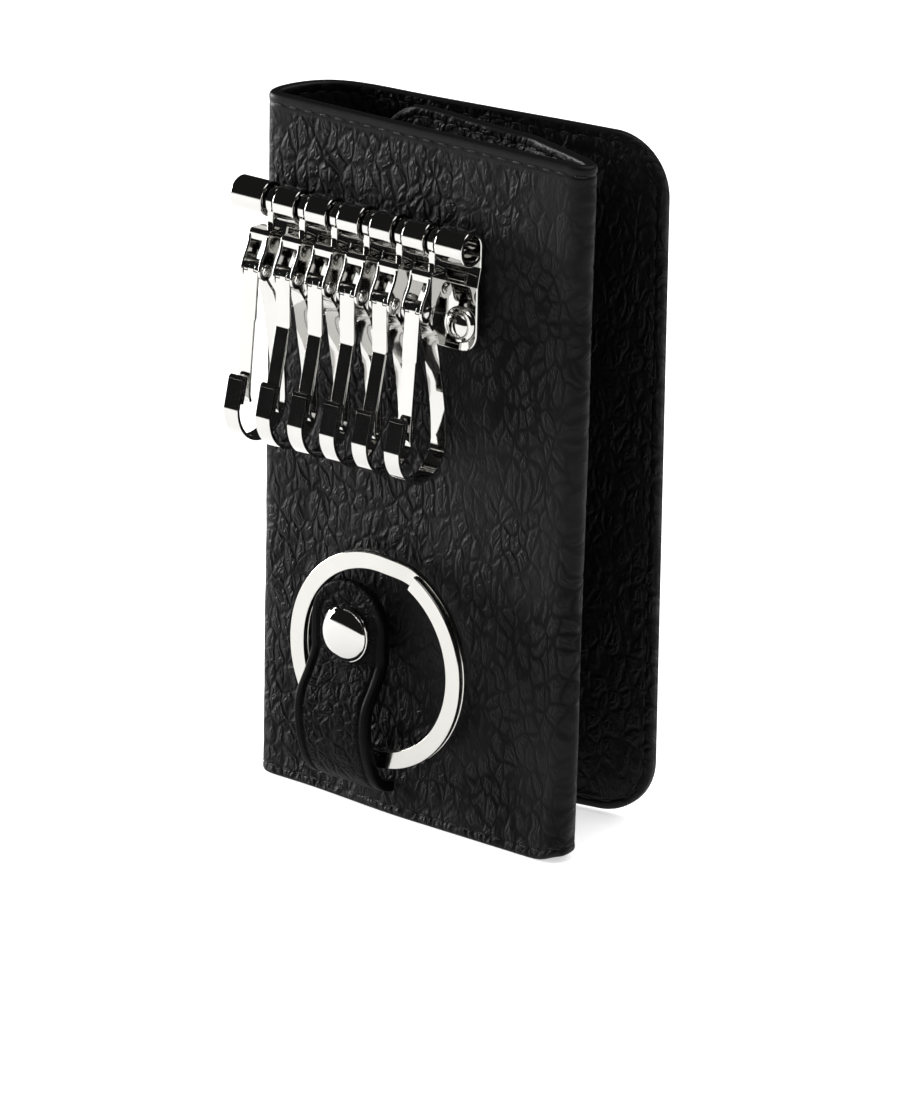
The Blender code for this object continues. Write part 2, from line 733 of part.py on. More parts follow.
def gate(x):
    """A spring gate: two ears on the pin, a wide upper plate and a narrower lower end."""
    line = [(PIN_Y - forward, PIN_Z - drop) for forward, drop in GATE_LINE]
    upper, lower = line[:2], line[1:]
    half = GATE_WIDTH * HALF
    body = along_x("hook_gate_1", even_ribbon(upper, GATE_THICKNESS), x - half, x + half, "steel")
    half = GATE_TIP_WIDTH * HALF
    join(body, along_x("gate_tip", even_ribbon(lower, GATE_THICKNESS), x - half, x + half, "steel"))
    start, end = EAR_ANGLES
    ear = circle((PIN_Y, PIN_Z), EAR_RADIUS, SMALL_SIDES, start, end)
    ear += [upper[0], (upper[1][0], (upper[0][1] + upper[1][1]) * HALF)]
    for side in (-1, 1):
        faces = sorted((x + side * EAR_OUTER, x + side * (EAR_OUTER - EAR_THICKNESS)))
        join(body, along_x("ear", ear, *faces, "steel"))
    drill([body], (x, PIN_Y, PIN_Z), (1, 0, 0), PIN_RADIUS + PIN_CLEARANCE, GATE_WIDTH)
    return set_origin(body, (x, PIN_Y, PIN_Z))


def hook_sets():
    """Six hangers, pins, hooks and gates."""
    xs = hook_xs()
    for stem, build in (("hanger", hanger), ("hook_pin", hook_pin), ("hook", hook), ("hook_gate", gate)):
        first = build(xs[0])
        for number, x in enumerate(xs[1:], 2):
            copy_of(first, f"{stem}_{number}", (x - xs[0], 0, 0))


# Strap and its press stud
def strap_anchor():
    """A point on the line that the strap turns about."""
    return (STRAP_CENTRE_X, PANEL_FRONT_Y - STRAP_ANCHOR[0], STRAP_ANCHOR[1])


def ring_strap():
    """A strap that leaves the panel low down, bulges round the ring and lies back against the panel."""
    places = [STRAP_ANCHOR, *STRAP_LINE, (STRAP_FLAT_DISTANCE, STRAP_FLAT_START)]
    line = smooth_line(places, STRAP_SUBSTEPS)
    line.append((STRAP_FLAT_DISTANCE, STRAP_TOP))
    line = [(PANEL_FRONT_Y - distance, z) for distance, z in line]
    left = STRAP_CENTRE_X - STRAP_WIDTH * HALF
    right = STRAP_CENTRE_X + STRAP_WIDTH * HALF
    strap = along_x("ring_strap", even_ribbon(line, STRAP_THICKNESS), left, right, "cover")
    radii = (0, 0, STRAP_CORNER, STRAP_CORNER)
    outline = rounded_rectangle(left - OVERLAP, right + OVERLAP, -CUT_OVERRUN, STRAP_TOP, radii)
    keep_inside(strap, along_y("strap_shape", outline, -CUT_REACH, PANEL_BACK_Y, "cover"))
    hole = SNAP_SHANK_RADIUS + FIT_GAP
    drill([strap], (STRAP_CENTRE_X, strap_back_y(), SNAP_Z), (0, -1, 0), hole, SNAP_CAP_RADIUS)
    return set_origin(strap, strap_anchor())


def strap_back_y():
    return PANEL_FRONT_Y - STRAP_FLAT_DISTANCE + STRAP_THICKNESS * HALF


def cap(name, centre, direction, leather):
    """A domed cap with its shank, standing on a face of leather of the thickness given."""
    rim = SNAP_CAP_HEIGHT * SNAP_RIM_SHARE
    profile = [(0.0, -leather - FIT_GAP), (SNAP_SHANK_RADIUS, -leather - FIT_GAP)]
    profile += [(SNAP_SHANK_RADIUS, FIT_GAP), (SNAP_CAP_RADIUS, FIT_GAP), (SNAP_CAP_RADIUS, FIT_GAP + rim)]
    profile += dome_profile(SNAP_CAP_RADIUS - rim, FIT_GAP + rim, SNAP_CAP_HEIGHT - rim)
    return turned(name, profile, centre, direction, "nickel", ROUND_SIDES)


def socket(name, centre, direction):
    """A thick ring on the face of the leather that meets the stud."""
    profile = (
        (SOCKET_HOLE, FIT_GAP),
        (SOCKET_RADIUS, FIT_GAP),
        (SOCKET_RADIUS, FIT_GAP + SOCKET_THICKNESS),
        (SOCKET_HOLE, FIT_GAP + SOCKET_THICKNESS),
    )
    return turned(name, profile, centre, direction, "steel")


def stud(name, centre, direction, leather):
    """A flange and post on one face of the leather, with a shank that ends flush with its washer."""
    end = -leather - FIT_GAP - WASHER_THICKNESS
    top = FIT_GAP + STUD_FLANGE
    profile = [(0.0, end), (SNAP_SHANK_RADIUS, end), (SNAP_SHANK_RADIUS, FIT_GAP)]
    profile += [(STUD_RADIUS, FIT_GAP), (STUD_RADIUS, top), (STUD_POST_RADIUS, top)]
    profile += [(STUD_POST_RADIUS, top + STUD_POST_HEIGHT), (0.0, top + STUD_POST_HEIGHT)]
    return turned(name, profile, centre, direction, "steel")


def strap_press_stud(panel):
    """Cap and socket on the strap, stud and washer on the panel."""
    forward, backward = (0, -1, 0), (0, 1, 0)
    front = (STRAP_CENTRE_X, strap_back_y() - STRAP_THICKNESS, SNAP_Z)
    back = (STRAP_CENTRE_X, strap_back_y(), SNAP_Z)
    set_origin(cap("snap_cap", front, forward, STRAP_THICKNESS), strap_anchor())
    set_origin(socket("snap_socket", back, backward), strap_anchor())
    on_panel = (STRAP_CENTRE_X, PANEL_FRONT_Y, SNAP_Z)
    stud("snap_stud", on_panel, forward, THICKNESS)
    behind = (STRAP_CENTRE_X, PANEL_BACK_Y + FIT_GAP + WASHER_THICKNESS, SNAP_Z)
    washer("snap_washer", behind, forward, SNAP_SHANK_RADIUS)
    drill(panel, on_panel, forward, SNAP_SHANK_RADIUS + FIT_GAP, THICKNESS + OVERLAP)


def closure(outer_layers, inner_layers):
    """The hidden press stud: cap and socket on the long flap, stud and washer on the short one."""
    _, outer = spine_runs()
    distance = outer.length - CLOSURE_FROM_FLAP_END
    middle, heading = outer.point(distance), outer.heading_at(distance)
    lining_way = (*left_of(heading), 0)
    shell_way = (*-left_of(heading), 0)
    half = left_of(heading) * THICKNESS * HALF
    shell_face, lining_face = middle - half, middle + half
    origin = (*outer.start, 0)
    set_origin(cap("closure_cap", (*shell_face, CLOSURE_Z), shell_way, THICKNESS), origin)
    set_origin(socket("closure_socket", (*lining_face, CLOSURE_Z), lining_way), origin)
    drill(outer_layers, (*middle, CLOSURE_Z), lining_way, SNAP_SHANK_RADIUS + FIT_GAP, THICKNESS)
    _, inner = right_runs()
    middle, heading = inner.point(CLOSURE_FROM_INNER_FOLD), inner.heading_at(CLOSURE_FROM_INNER_FOLD)
    shell_way = (*left_of(heading), 0)
    half = left_of(heading) * THICKNESS * HALF
    shell_face, lining_face = middle + half, middle - half
    origin = (*inner.start, 0)
    set_origin(stud("closure_stud", (*shell_face, CLOSURE_Z), shell_way, THICKNESS), origin)
    behind = lining_face - left_of(heading) * (FIT_GAP + WASHER_THICKNESS)
    set_origin(washer("closure_washer", (*behind, CLOSURE_Z), shell_way, SNAP_SHANK_RADIUS), origin)
    drill(inner_layers, (*middle, CLOSURE_Z), shell_way, SNAP_SHANK_RADIUS + FIT_GAP, THICKNESS)


# Split ring
def split_ring():
    """Two flat coils of one wire that crosses from the first to the second at the split."""
    start = RING_STEP_ANGLE * HALF + RING_END_GAP
    end = math.tau * RING_COILS - start
    count = math.ceil((end - start) / RING_STATION_ANGLE)
    pitch = RING_WIRE + RING_COIL_GAP
    sections = []
    for step in range(count + 1):
        turn = start + (end - start) * step / count
        level = coil_level(turn) * pitch - pitch * HALF
        sections.append(ring_section(turn + RING_SPLIT_AT, PANEL_FRONT_Y - RING_CENTRE_DISTANCE - level))
    ring = loft("split_ring", sections, "ring")
    centre = (RING_CENTRE_X, PANEL_FRONT_Y - RING_CENTRE_DISTANCE, RING_CENTRE_Z)
    return set_origin(ring, centre)


def coil_level(turn):
    """Zero on the first coil, one on the second, and between them where the wire crosses."""
    share = (turn - math.tau) / RING_STEP_ANGLE + HALF
    share = min(max(share, 0.0), 1.0)
    return share * share * (1 + (1 - share) + (1 - share))


def ring_section(turn, y):
    """The four corners of the wire at an angle round the ring."""
    corners = []
    half = RING_WIRE * HALF
    for radius, side in ((RING_RADIUS, -half), (RING_RADIUS, half), (RING_RADIUS - RING_BAND, half)):
        corners.append(ring_point(turn, radius, y + side))
    corners.append(ring_point(turn, RING_RADIUS - RING_BAND, y - half))
    return corners


def ring_point(turn, radius, y):
    return (RING_CENTRE_X + radius * math.cos(turn), y, RING_CENTRE_Z + radius * math.sin(turn))


def stand_on_origin():
    """Moves the whole case so that the middle of its underside is the origin."""
    bpy.context.view_layer.update()
    corners = [
        thing.matrix_world @ Vector(corner)
        for thing in bpy.data.objects
        for corner in thing.bound_box
    ]
    low = Vector([min(corner[axis] for corner in corners) for axis in range(len(corners[0]))])
    high = Vector([max(corner[axis] for corner in corners) for axis in range(len(corners[0]))])
    shift = Vector((-(low.x + high.x) * HALF, -(low.y + high.y) * HALF, -low.z))
    for thing in bpy.data.objects:
        thing.location = thing.location + shift
    bpy.context.view_layer.update()


def main():
    clear_scene()
    leather = cover_leather()
    rail = hook_rail()
    hook_rod()
    rivets(leather["panel"], rail)
    hook_sets()
    ring_strap()
    strap_press_stud(leather["panel"])
    closure(leather["outer_flap"], leather["inner_flap"])
    split_ring()
    stand_on_origin()


main()
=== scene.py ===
"""Looks of the folding key case: pebbled leather cover, slotted hook rail, ring strap and split ring.

Pieces are modelled in millimetres in the case's own axes: X runs along the panel from its left crease,
Y goes back from the panel's front, and Z goes up from the lower edge. The last step of each piece
settles it into the frame's metres.
"""

import logging
import math
from contextlib import contextmanager
from dataclasses import dataclass
from enum import Enum
from typing import Callable, Iterator, Sequence

import bpy
import numpy as np
from mathutils import Matrix, Vector, noise


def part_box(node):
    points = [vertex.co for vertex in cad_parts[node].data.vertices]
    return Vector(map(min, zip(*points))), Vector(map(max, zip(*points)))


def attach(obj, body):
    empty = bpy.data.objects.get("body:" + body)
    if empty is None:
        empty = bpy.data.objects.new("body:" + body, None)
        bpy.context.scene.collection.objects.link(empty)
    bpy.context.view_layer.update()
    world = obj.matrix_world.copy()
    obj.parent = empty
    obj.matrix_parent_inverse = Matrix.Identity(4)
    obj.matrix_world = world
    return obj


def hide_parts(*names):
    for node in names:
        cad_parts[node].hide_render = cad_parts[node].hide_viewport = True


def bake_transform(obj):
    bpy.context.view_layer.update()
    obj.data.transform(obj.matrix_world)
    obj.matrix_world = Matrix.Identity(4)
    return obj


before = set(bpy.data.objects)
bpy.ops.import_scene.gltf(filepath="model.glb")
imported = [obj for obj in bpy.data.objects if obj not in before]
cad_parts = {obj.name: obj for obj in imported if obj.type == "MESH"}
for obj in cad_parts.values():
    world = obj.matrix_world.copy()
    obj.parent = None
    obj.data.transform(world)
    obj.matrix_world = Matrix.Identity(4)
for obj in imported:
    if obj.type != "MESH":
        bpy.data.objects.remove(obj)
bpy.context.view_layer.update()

MM = 0.001
LOG = logging.getLogger("key_case")

Point = tuple[float, float]
Outline = tuple[Point, ...]
Colour = tuple[float, float, float]

# Millimetres: how close points are welded, how close counts as touching, and the hole left at a crown
WELD = 0.0005
NEAR = 0.01
CROWN = 0.06

# Degrees: how sharply a wall turns before its edge is rounded, and edges turn before they stay sharp
ROUNDED_FROM = 50.0
WALL_SMOOTHING = 40.0
TURNED_SMOOTHING = 32.0
LEATHER_SMOOTHING = 60.0
THREAD_SMOOTHING = 80.0

# Ways in the case's own axes
TO_BACK = (0, 1, 0)
TO_FRONT = (0, -1, 0)
TO_RIGHT = (1, 0, 0)


class Slot(Enum):
    """The record's material slots; the hook pieces list them, but no piece is given one."""

    COVER = "cover_leather"
    STRAP = "strap_leather"
    NICKEL = "bright_nickel"
    STEEL = "plain_steel"
    RING = "ring_steel"


@dataclass(frozen=True)
class Datum:
    """Where the case's own axes lie in the frame."""

    barrel_left: float = -1.75

    def matrix(self) -> Matrix:
        """The change from the case's millimetres to the frame's metres.

        Returns:
            The change as a matrix.
        """
        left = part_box("hook_rail")[0].x / MM - self.barrel_left
        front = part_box("panel_lining")[0].y / MM
        return Matrix.Scale(MM, 4) @ Matrix.Translation((left, front, 0.0))


TO_FRAME = Datum().matrix()


# bench work
def deselect() -> None:
    """Clears the selection, so that an operator acts on the new piece alone."""
    bpy.ops.object.select_all(action="DESELECT")


def take(name: str) -> bpy.types.Object:
    """Names the primitive that was just added and places its size in its mesh.

    Args:
        name: the piece's name.

    Returns:
        The new object.
    """
    piece = bpy.context.active_object
    piece.name = piece.data.name = name
    bpy.ops.object.transform_apply(location=True, rotation=True, scale=True)
    return piece


@contextmanager
def editing(piece: bpy.types.Object) -> Iterator[None]:
    """Opens a piece in edit mode and closes it again.

    Args:
        piece: the mesh object to edit.
    """
    deselect()
    bpy.context.view_layer.objects.active = piece
    piece.select_set(True)
    bpy.ops.object.mode_set(mode="EDIT")
    try:
        yield
    finally:
        bpy.ops.object.mode_set(mode="OBJECT")


def pick(piece: bpy.types.Object, wanted: Callable[[Vector], bool]) -> None:
    """Selects the vertices that stand where wanted says, and what lies between them.

    Args:
        piece: a mesh object in object mode.
        wanted: tells from a place whether the vertex there is picked.
    """
    mesh = piece.data
    for vertex in mesh.vertices:
        vertex.select = wanted(vertex.co)
    for edge in mesh.edges:
        edge.select = all(mesh.vertices[end].select for end in edge.vertices)
    for face in mesh.polygons:
        face.select = all(mesh.vertices[corner].select for corner in face.vertices)


def finish_with(piece: bpy.types.Object, kind: str, **settings: object) -> None:
    """Adds a modifier and applies it.

    Args:
        piece: the mesh object.
        kind: the modifier's type.
        **settings: its settings by name.
    """
    deselect()
    bpy.context.view_layer.objects.active = piece
    piece.select_set(True)
    modifier = piece.modifiers.new(kind.title(), kind)
    for setting, value in settings.items():
        setattr(modifier, setting, value)
    bpy.ops.object.modifier_apply(modifier=modifier.name)


def face_outwards(piece: bpy.types.Object) -> None:
    """Turns every face of a closed piece outwards.

    Args:
        piece: the mesh object.
    """
    with editing(piece):
        bpy.ops.mesh.select_all(action="SELECT")
        bpy.ops.mesh.normals_make_consistent(inside=False)


def smooth(piece: bpy.types.Object, degrees: float = 35.0) -> None:
    """Shades a piece smooth except where it turns by more than an angle.

    Args:
        piece: the mesh object.
        degrees: the angle past which an edge stays sharp.
    """
    deselect()
    bpy.context.view_layer.objects.active = piece
    piece.select_set(True)
    bpy.ops.object.shade_smooth_by_angle(angle=math.radians(degrees))


def joined(name: str, parts: Sequence[bpy.types.Object]) -> bpy.types.Object:
    """Makes one piece of several.

    Args:
        name: the name of the whole.
        parts: the pieces to join.

    Returns:
        The joined object.
    """
    deselect()
    for part in parts:
        part.select_set(True)
    bpy.context.view_layer.objects.active = parts[0]
    bpy.ops.object.join()
    parts[0].name = parts[0].data.name = name
    return parts[0]


def copied(piece: bpy.types.Object, name: str, shift: Vector) -> bpy.types.Object:
    """A copy of a piece with its own mesh, moved by a shift.

    Args:
        piece: the modelled piece.
        name: the copy's name.
        shift: how far it moves, in millimetres.

    Returns:
        The copy.
    """
    twin = piece.copy()
    twin.data = piece.data.copy()
    twin.name = twin.data.name = name
    twin.data.transform(Matrix.Translation(shift))
    bpy.context.scene.collection.objects.link(twin)
    return twin


def arc(centre: Sequence[float], radius: float, start: float, end: float, count: int) -> list[Point]:
    """Points on an arc.

    Args:
        centre: the middle of the arc.
        radius: its radius.
        start: the first angle in degrees.
        end: the last angle in degrees.
        count: how many points.

    Returns:
        The points, from first to last.
    """
    angles = np.radians(np.linspace(start, end, count))
    return [(centre[0] + radius * math.cos(a), centre[1] + radius * math.sin(a)) for a in angles]


def curve_through(points: Sequence[Sequence[float]], per_span: int) -> list[tuple[float, ...]]:
    """A smooth line through points.

    Args:
        points: the places it passes.
        per_span: how many points it has from one place to the next.

    Returns:
        The points of the line.
    """
    places = np.array([points[0], *points, points[-1]], float)
    line = []
    for a, b, c, d in zip(places, places[1:], places[2:], places[3:]):
        square = 2 * a - 5 * b + 4 * c - d
        cube = 3 * b - a - 3 * c + d
        for step in range(per_span):
            t = step / per_span
            line.append(0.5 * (2 * b + (c - a) * t + square * t**2 + cube * t**3))
    line.append(places[-1])
    return [tuple(point) for point in line]


@dataclass(frozen=True)
class Station:
    """One cross line of a strip: its middle, half its width, and the way across."""

    middle: tuple[float, float, float]
    half: float
    across: tuple[float, float, float] = (1.0, 0.0, 0.0)


def strip(name: str, stations: Sequence[Station]) -> bpy.types.Object:
    """A thin strip without thickness, laid along its stations.

    Args:
        name: the piece's name.
        stations: its cross lines in order.

    Returns:
        The strip, one face wide.
    """
    deselect()
    bpy.ops.mesh.primitive_grid_add(x_subdivisions=len(stations) - 1, y_subdivisions=1, size=1.0)
    piece = take(name)
    for vertex in piece.data.vertices:
        station = stations[round((vertex.co.x + 0.5) * (len(stations) - 1))]
        side = 1.0 if vertex.co.y > 0 else -1.0
        vertex.co = Vector(station.middle) + Vector(station.across) * station.half * side
    return piece


def thicken(
    piece: bpy.types.Object, thickness: float, rounding: float, segments: int = 2
) -> bpy.types.Object:
    """Gives a strip its wall and rounds the wall's edges.

    Args:
        piece: the strip.
        thickness: the wall, half on each side.
        rounding: the radius of the edges.
        segments: how many faces a rounded edge has.

    Returns:
        The same piece.
    """
    finish_with(piece, "SOLIDIFY", thickness=thickness, offset=0.0, use_even_offset=True)
    face_outwards(piece)
    limit = math.radians(ROUNDED_FROM)
    finish_with(piece, "BEVEL", width=rounding, segments=segments, limit_method="ANGLE", angle_limit=limit)
    smooth(piece, WALL_SMOOTHING)
    finish_with(piece, "WEIGHTED_NORMAL", mode="FACE_AREA", weight=60, keep_sharp=True)
    return piece


def turned(
    name: str,
    profile: Sequence[tuple[float, float]],
    centre: Sequence[float],
    way: Sequence[float],
    sides: int = 48,
    hollow: bool = False,
) -> bpy.types.Object:
    """A round piece, extruded and scaled from a circle along its profile.

    Args:
        name: the piece's name.
        profile: (radius, distance along the axis) points.
        centre: where the axis starts.
        way: the axis direction.
        sides: how many faces go round.
        hollow: whether the profile is a closed loop round a bore.

    Returns:
        The turned piece.
    """
    axis = Vector(way).normalized()
    turn = Vector((0, 0, 1)).rotation_difference(axis).to_euler()
    radius, level = profile[0]
    deselect()
    fill = "NOTHING" if hollow else "NGON"
    at = Vector(centre) + axis * level
    bpy.ops.mesh.primitive_circle_add(
        vertices=sides, radius=radius, fill_type=fill, location=at, rotation=turn
    )
    piece = take(name)
    rest = list(profile[1:]) + ([profile[0]] if hollow else [])
    with editing(piece):
        bpy.ops.mesh.select_all(action="SELECT")
        for next_radius, next_level in rest:
            rise = axis * (next_level - level)
            bpy.ops.mesh.extrude_region_move(TRANSFORM_OT_translate={"value": rise})
            share = next_radius / radius
            middle = Vector(centre) + axis * next_level
            bpy.ops.transform.resize(value=(share, share, share), center_override=middle)
            radius, level = next_radius, next_level
        bpy.ops.mesh.select_all(action="SELECT")
        bpy.ops.mesh.remove_doubles(threshold=WELD)
        bpy.ops.mesh.normals_make_consistent(inside=False)
    smooth(piece, TURNED_SMOOTHING)
    return piece


def dome(radius: float, base: float, height: float, steps: int = 9) -> list[Point]:
    """The profile of a shallow dome, from its rim nearly to its crown."""
    angles = [math.pi / 2 * step / steps for step in range(steps + 1)]
    return [(max(radius * math.cos(a), CROWN), base + height * math.sin(a)) for a in angles]


# finishes
class Effect(Enum):
    """The shader node groups that several finishes share."""

    RELIEF = "leather_relief"
    POLISH = "polish_marks"


# What the leathers and the metals share: pattern scales in repeats to the metre, and mask strengths
GRAIN_INPUTS = ("Cell Scale", "Crease Width", "Crease Depth", "Grain Scale", "Grain Depth", "Wander")
DRIFT_SCALE = 170.0
PATCH_SCALE = 70.0
PATCH_STRENGTH = (0.25, 1.0)
FINE_CELLS = 2.3
FINE_CREASE = 0.45
HAZE_SCALE = 260.0
RIPPLE_SCALE = 420.0


def feed(tree: bpy.types.NodeTree, node: bpy.types.Node, inputs: dict[int | str, object]) -> None:
    """Sets a node's inputs, or links them where a socket is given.

    Args:
        tree: the node tree.
        node: the node.
        inputs: by input name or number, a value or the output socket that feeds it.
    """
    for key, value in inputs.items():
        if isinstance(value, bpy.types.NodeSocket):
            tree.links.new(value, node.inputs[key])
        else:
            node.inputs[key].default_value = value


def linked(
    tree: bpy.types.NodeTree, kind: str, inputs: dict[int | str, object], **settings: object
) -> bpy.types.Node:
    """Adds a node, sets it and links it.

    Args:
        tree: the node tree.
        kind: the node's type.
        inputs: by input name or number, a value or the output socket that feeds it.
        **settings: the node's own settings.

    Returns:
        The node.
    """
    node = tree.nodes.new(kind)
    for setting, value in settings.items():
        setattr(node, setting, value)
    feed(tree, node, inputs)
    return node


def math_node(tree: bpy.types.NodeTree, operation: str, *values: object) -> bpy.types.NodeSocket:
    """The result of a Math node on values or sockets."""
    return linked(tree, "ShaderNodeMath", dict(enumerate(values)), operation=operation).outputs[0]


def remapped(
    tree: bpy.types.NodeTree,
    value: bpy.types.NodeSocket,
    source: Sequence[object],
    target: Sequence[object],
    curve: str = "LINEAR",
) -> bpy.types.NodeSocket:
    """A value carried from one range to another, and held at its ends.

    Args:
        tree: the node tree.
        value: the value's socket.
        source: where the first range starts and ends.
        target: where the second range starts and ends.
        curve: how the value runs between the ends.

    Returns:
        The socket of the result.
    """
    ends = dict(zip(("From Min", "From Max", "To Min", "To Max"), (*source, *target)))
    return linked(tree, "ShaderNodeMapRange", {"Value": value, **ends}, interpolation_type=curve).outputs[0]


def mixed(
    tree: bpy.types.NodeTree, share: bpy.types.NodeSocket, first: Colour, second: Colour
) -> bpy.types.NodeSocket:
    """The first colour where the share is 0, the second where it is 1."""
    inputs = {0: share, 6: (*first, 1.0), 7: (*second, 1.0)}
    return linked(tree, "ShaderNodeMix", inputs, data_type="RGBA").outputs[2]


def clouds(
    tree: bpy.types.NodeTree, place: bpy.types.NodeSocket, scale: object, detail: float = 2.0
) -> bpy.types.Node:
    """A Noise Texture node at a place."""
    return linked(tree, "ShaderNodeTexNoise", {"Vector": place, "Scale": scale, "Detail": detail})


def effect_group(effect: Effect, inputs: Sequence[str], outputs: Sequence[str]) -> bpy.types.NodeTree:
    """A fresh node group with a place and some numbers going in and numbers coming out.

    Args:
        effect: the effect that the group makes.
        inputs: the names of the numbers that go in.
        outputs: the names of the numbers that come out.

    Returns:
        The group, with its sockets and no nodes.
    """
    group = bpy.data.node_groups.new(effect.value, "ShaderNodeTree")
    group.interface.new_socket(name="Place", in_out="INPUT", socket_type="NodeSocketVector")
    for way, names in (("INPUT", inputs), ("OUTPUT", outputs)):
        for name in names:
            group.interface.new_socket(name=name, in_out=way, socket_type="NodeSocketFloat")
    return group


def strayed(
    tree: bpy.types.NodeTree, place: bpy.types.NodeSocket, amount: bpy.types.NodeSocket
) -> bpy.types.NodeSocket:
    """A place pushed about by soft noise, so that the creases wander.

    Args:
        tree: the node tree.
        place: the place's socket.
        amount: how far it strays.

    Returns:
        The socket of the pushed place.
    """
    drift = clouds(tree, place, DRIFT_SCALE, 3.0).outputs["Color"]
    centred = linked(tree, "ShaderNodeVectorMath", {0: drift, 1: (0.5, 0.5, 0.5)}, operation="SUBTRACT")
    push = linked(tree, "ShaderNodeVectorMath", {0: centred.outputs[0], "Scale": amount}, operation="SCALE")
    return linked(tree, "ShaderNodeVectorMath", {0: place, 1: push.outputs[0]}, operation="ADD").outputs[0]


def crease_lines(
    tree: bpy.types.NodeTree,
    place: bpy.types.NodeSocket,
    scale: bpy.types.NodeSocket,
    width: bpy.types.NodeSocket,
    strength: float,
) -> bpy.types.NodeSocket:
    """A mask of the creases between the pebbles.

    Args:
        tree: the node tree.
        place: where on the hide.
        scale: how many pebbles to the metre.
        width: how wide a crease is, as a share of a pebble.
        strength: the mask's value in the middle of a crease.

    Returns:
        The mask's socket.
    """
    inputs = {"Vector": place, "Scale": scale}
    pebbles = linked(tree, "ShaderNodeTexVoronoi", inputs, feature="DISTANCE_TO_EDGE").outputs[0]
    return remapped(tree, pebbles, (0.0, width), (strength, 0.0), "SMOOTHSTEP")


def leather_relief() -> bpy.types.NodeTree:
    """The height of pebbled leather: pebbles parted by creases, fine grain, and a mask of the creases.

    Returns:
        The node group, with its pattern in metres on the vector it is given.
    """
    if Effect.RELIEF.value in bpy.data.node_groups:
        return bpy.data.node_groups[Effect.RELIEF.value]
    group = effect_group(Effect.RELIEF, GRAIN_INPUTS, ("Height", "Crease"))
    start = group.nodes.new("NodeGroupInput").outputs
    place = strayed(group, start["Place"], start["Wander"])
    coarse = crease_lines(group, place, start["Cell Scale"], start["Crease Width"], 1.0)
    fine_scale = math_node(group, "MULTIPLY", start["Cell Scale"], FINE_CELLS)
    fine = crease_lines(group, place, fine_scale, start["Crease Width"], FINE_CREASE)
    patches = clouds(group, start["Place"], PATCH_SCALE).outputs[0]
    strength = remapped(group, patches, (0.35, 0.65), PATCH_STRENGTH)
    crease = math_node(group, "MULTIPLY", math_node(group, "MAXIMUM", coarse, fine), strength)
    grain = clouds(group, start["Place"], start["Grain Scale"], 3.0).outputs[0]
    rise = math_node(group, "MULTIPLY", math_node(group, "SUBTRACT", grain, 0.5), start["Grain Depth"])
    drop = math_node(group, "MULTIPLY", crease, start["Crease Depth"])
    end = group.nodes.new("NodeGroupOutput")
    feed(group, end, {"Height": math_node(group, "SUBTRACT", rise, drop), "Crease": crease})
    return group


def polish_marks() -> bpy.types.NodeTree:
    """Handling haze and faint ripples on plated metal.

    Returns:
        The node group: a roughness value and a height.
    """
    if Effect.POLISH.value in bpy.data.node_groups:
        return bpy.data.node_groups[Effect.POLISH.value]
    group = effect_group(Effect.POLISH, ("Low", "High"), ("Roughness", "Height"))
    start = group.nodes.new("NodeGroupInput").outputs
    haze = clouds(group, start["Place"], HAZE_SCALE, 4.0).outputs[0]
    rough = remapped(group, haze, (0.35, 0.7), (start["Low"], start["High"]))
    ripple = clouds(group, start["Place"], RIPPLE_SCALE, 1.0).outputs[0]
    end = group.nodes.new("NodeGroupOutput")
    feed(group, end, {"Roughness": rough, "Height": ripple})
    return group


@dataclass(frozen=True)
class Finish:
    """A surface finish, made into a material once and then shared."""

    name: str

    def material(self) -> bpy.types.Material:
        """The finish as a material.

        Returns:
            The material, built when it is first asked for.
        """
        if self.name in bpy.data.materials:
            return bpy.data.materials[self.name]
        material = bpy.data.materials.new(self.name)
        material.use_nodes = True
        tree = material.node_tree
        self.dress(tree, tree.nodes["Principled BSDF"])
        return material

    def dress(self, tree: bpy.types.NodeTree, shader: bpy.types.Node) -> None:
        """Wires the finish to its shader; each kind of finish has its own."""
        raise NotImplementedError(self.name)


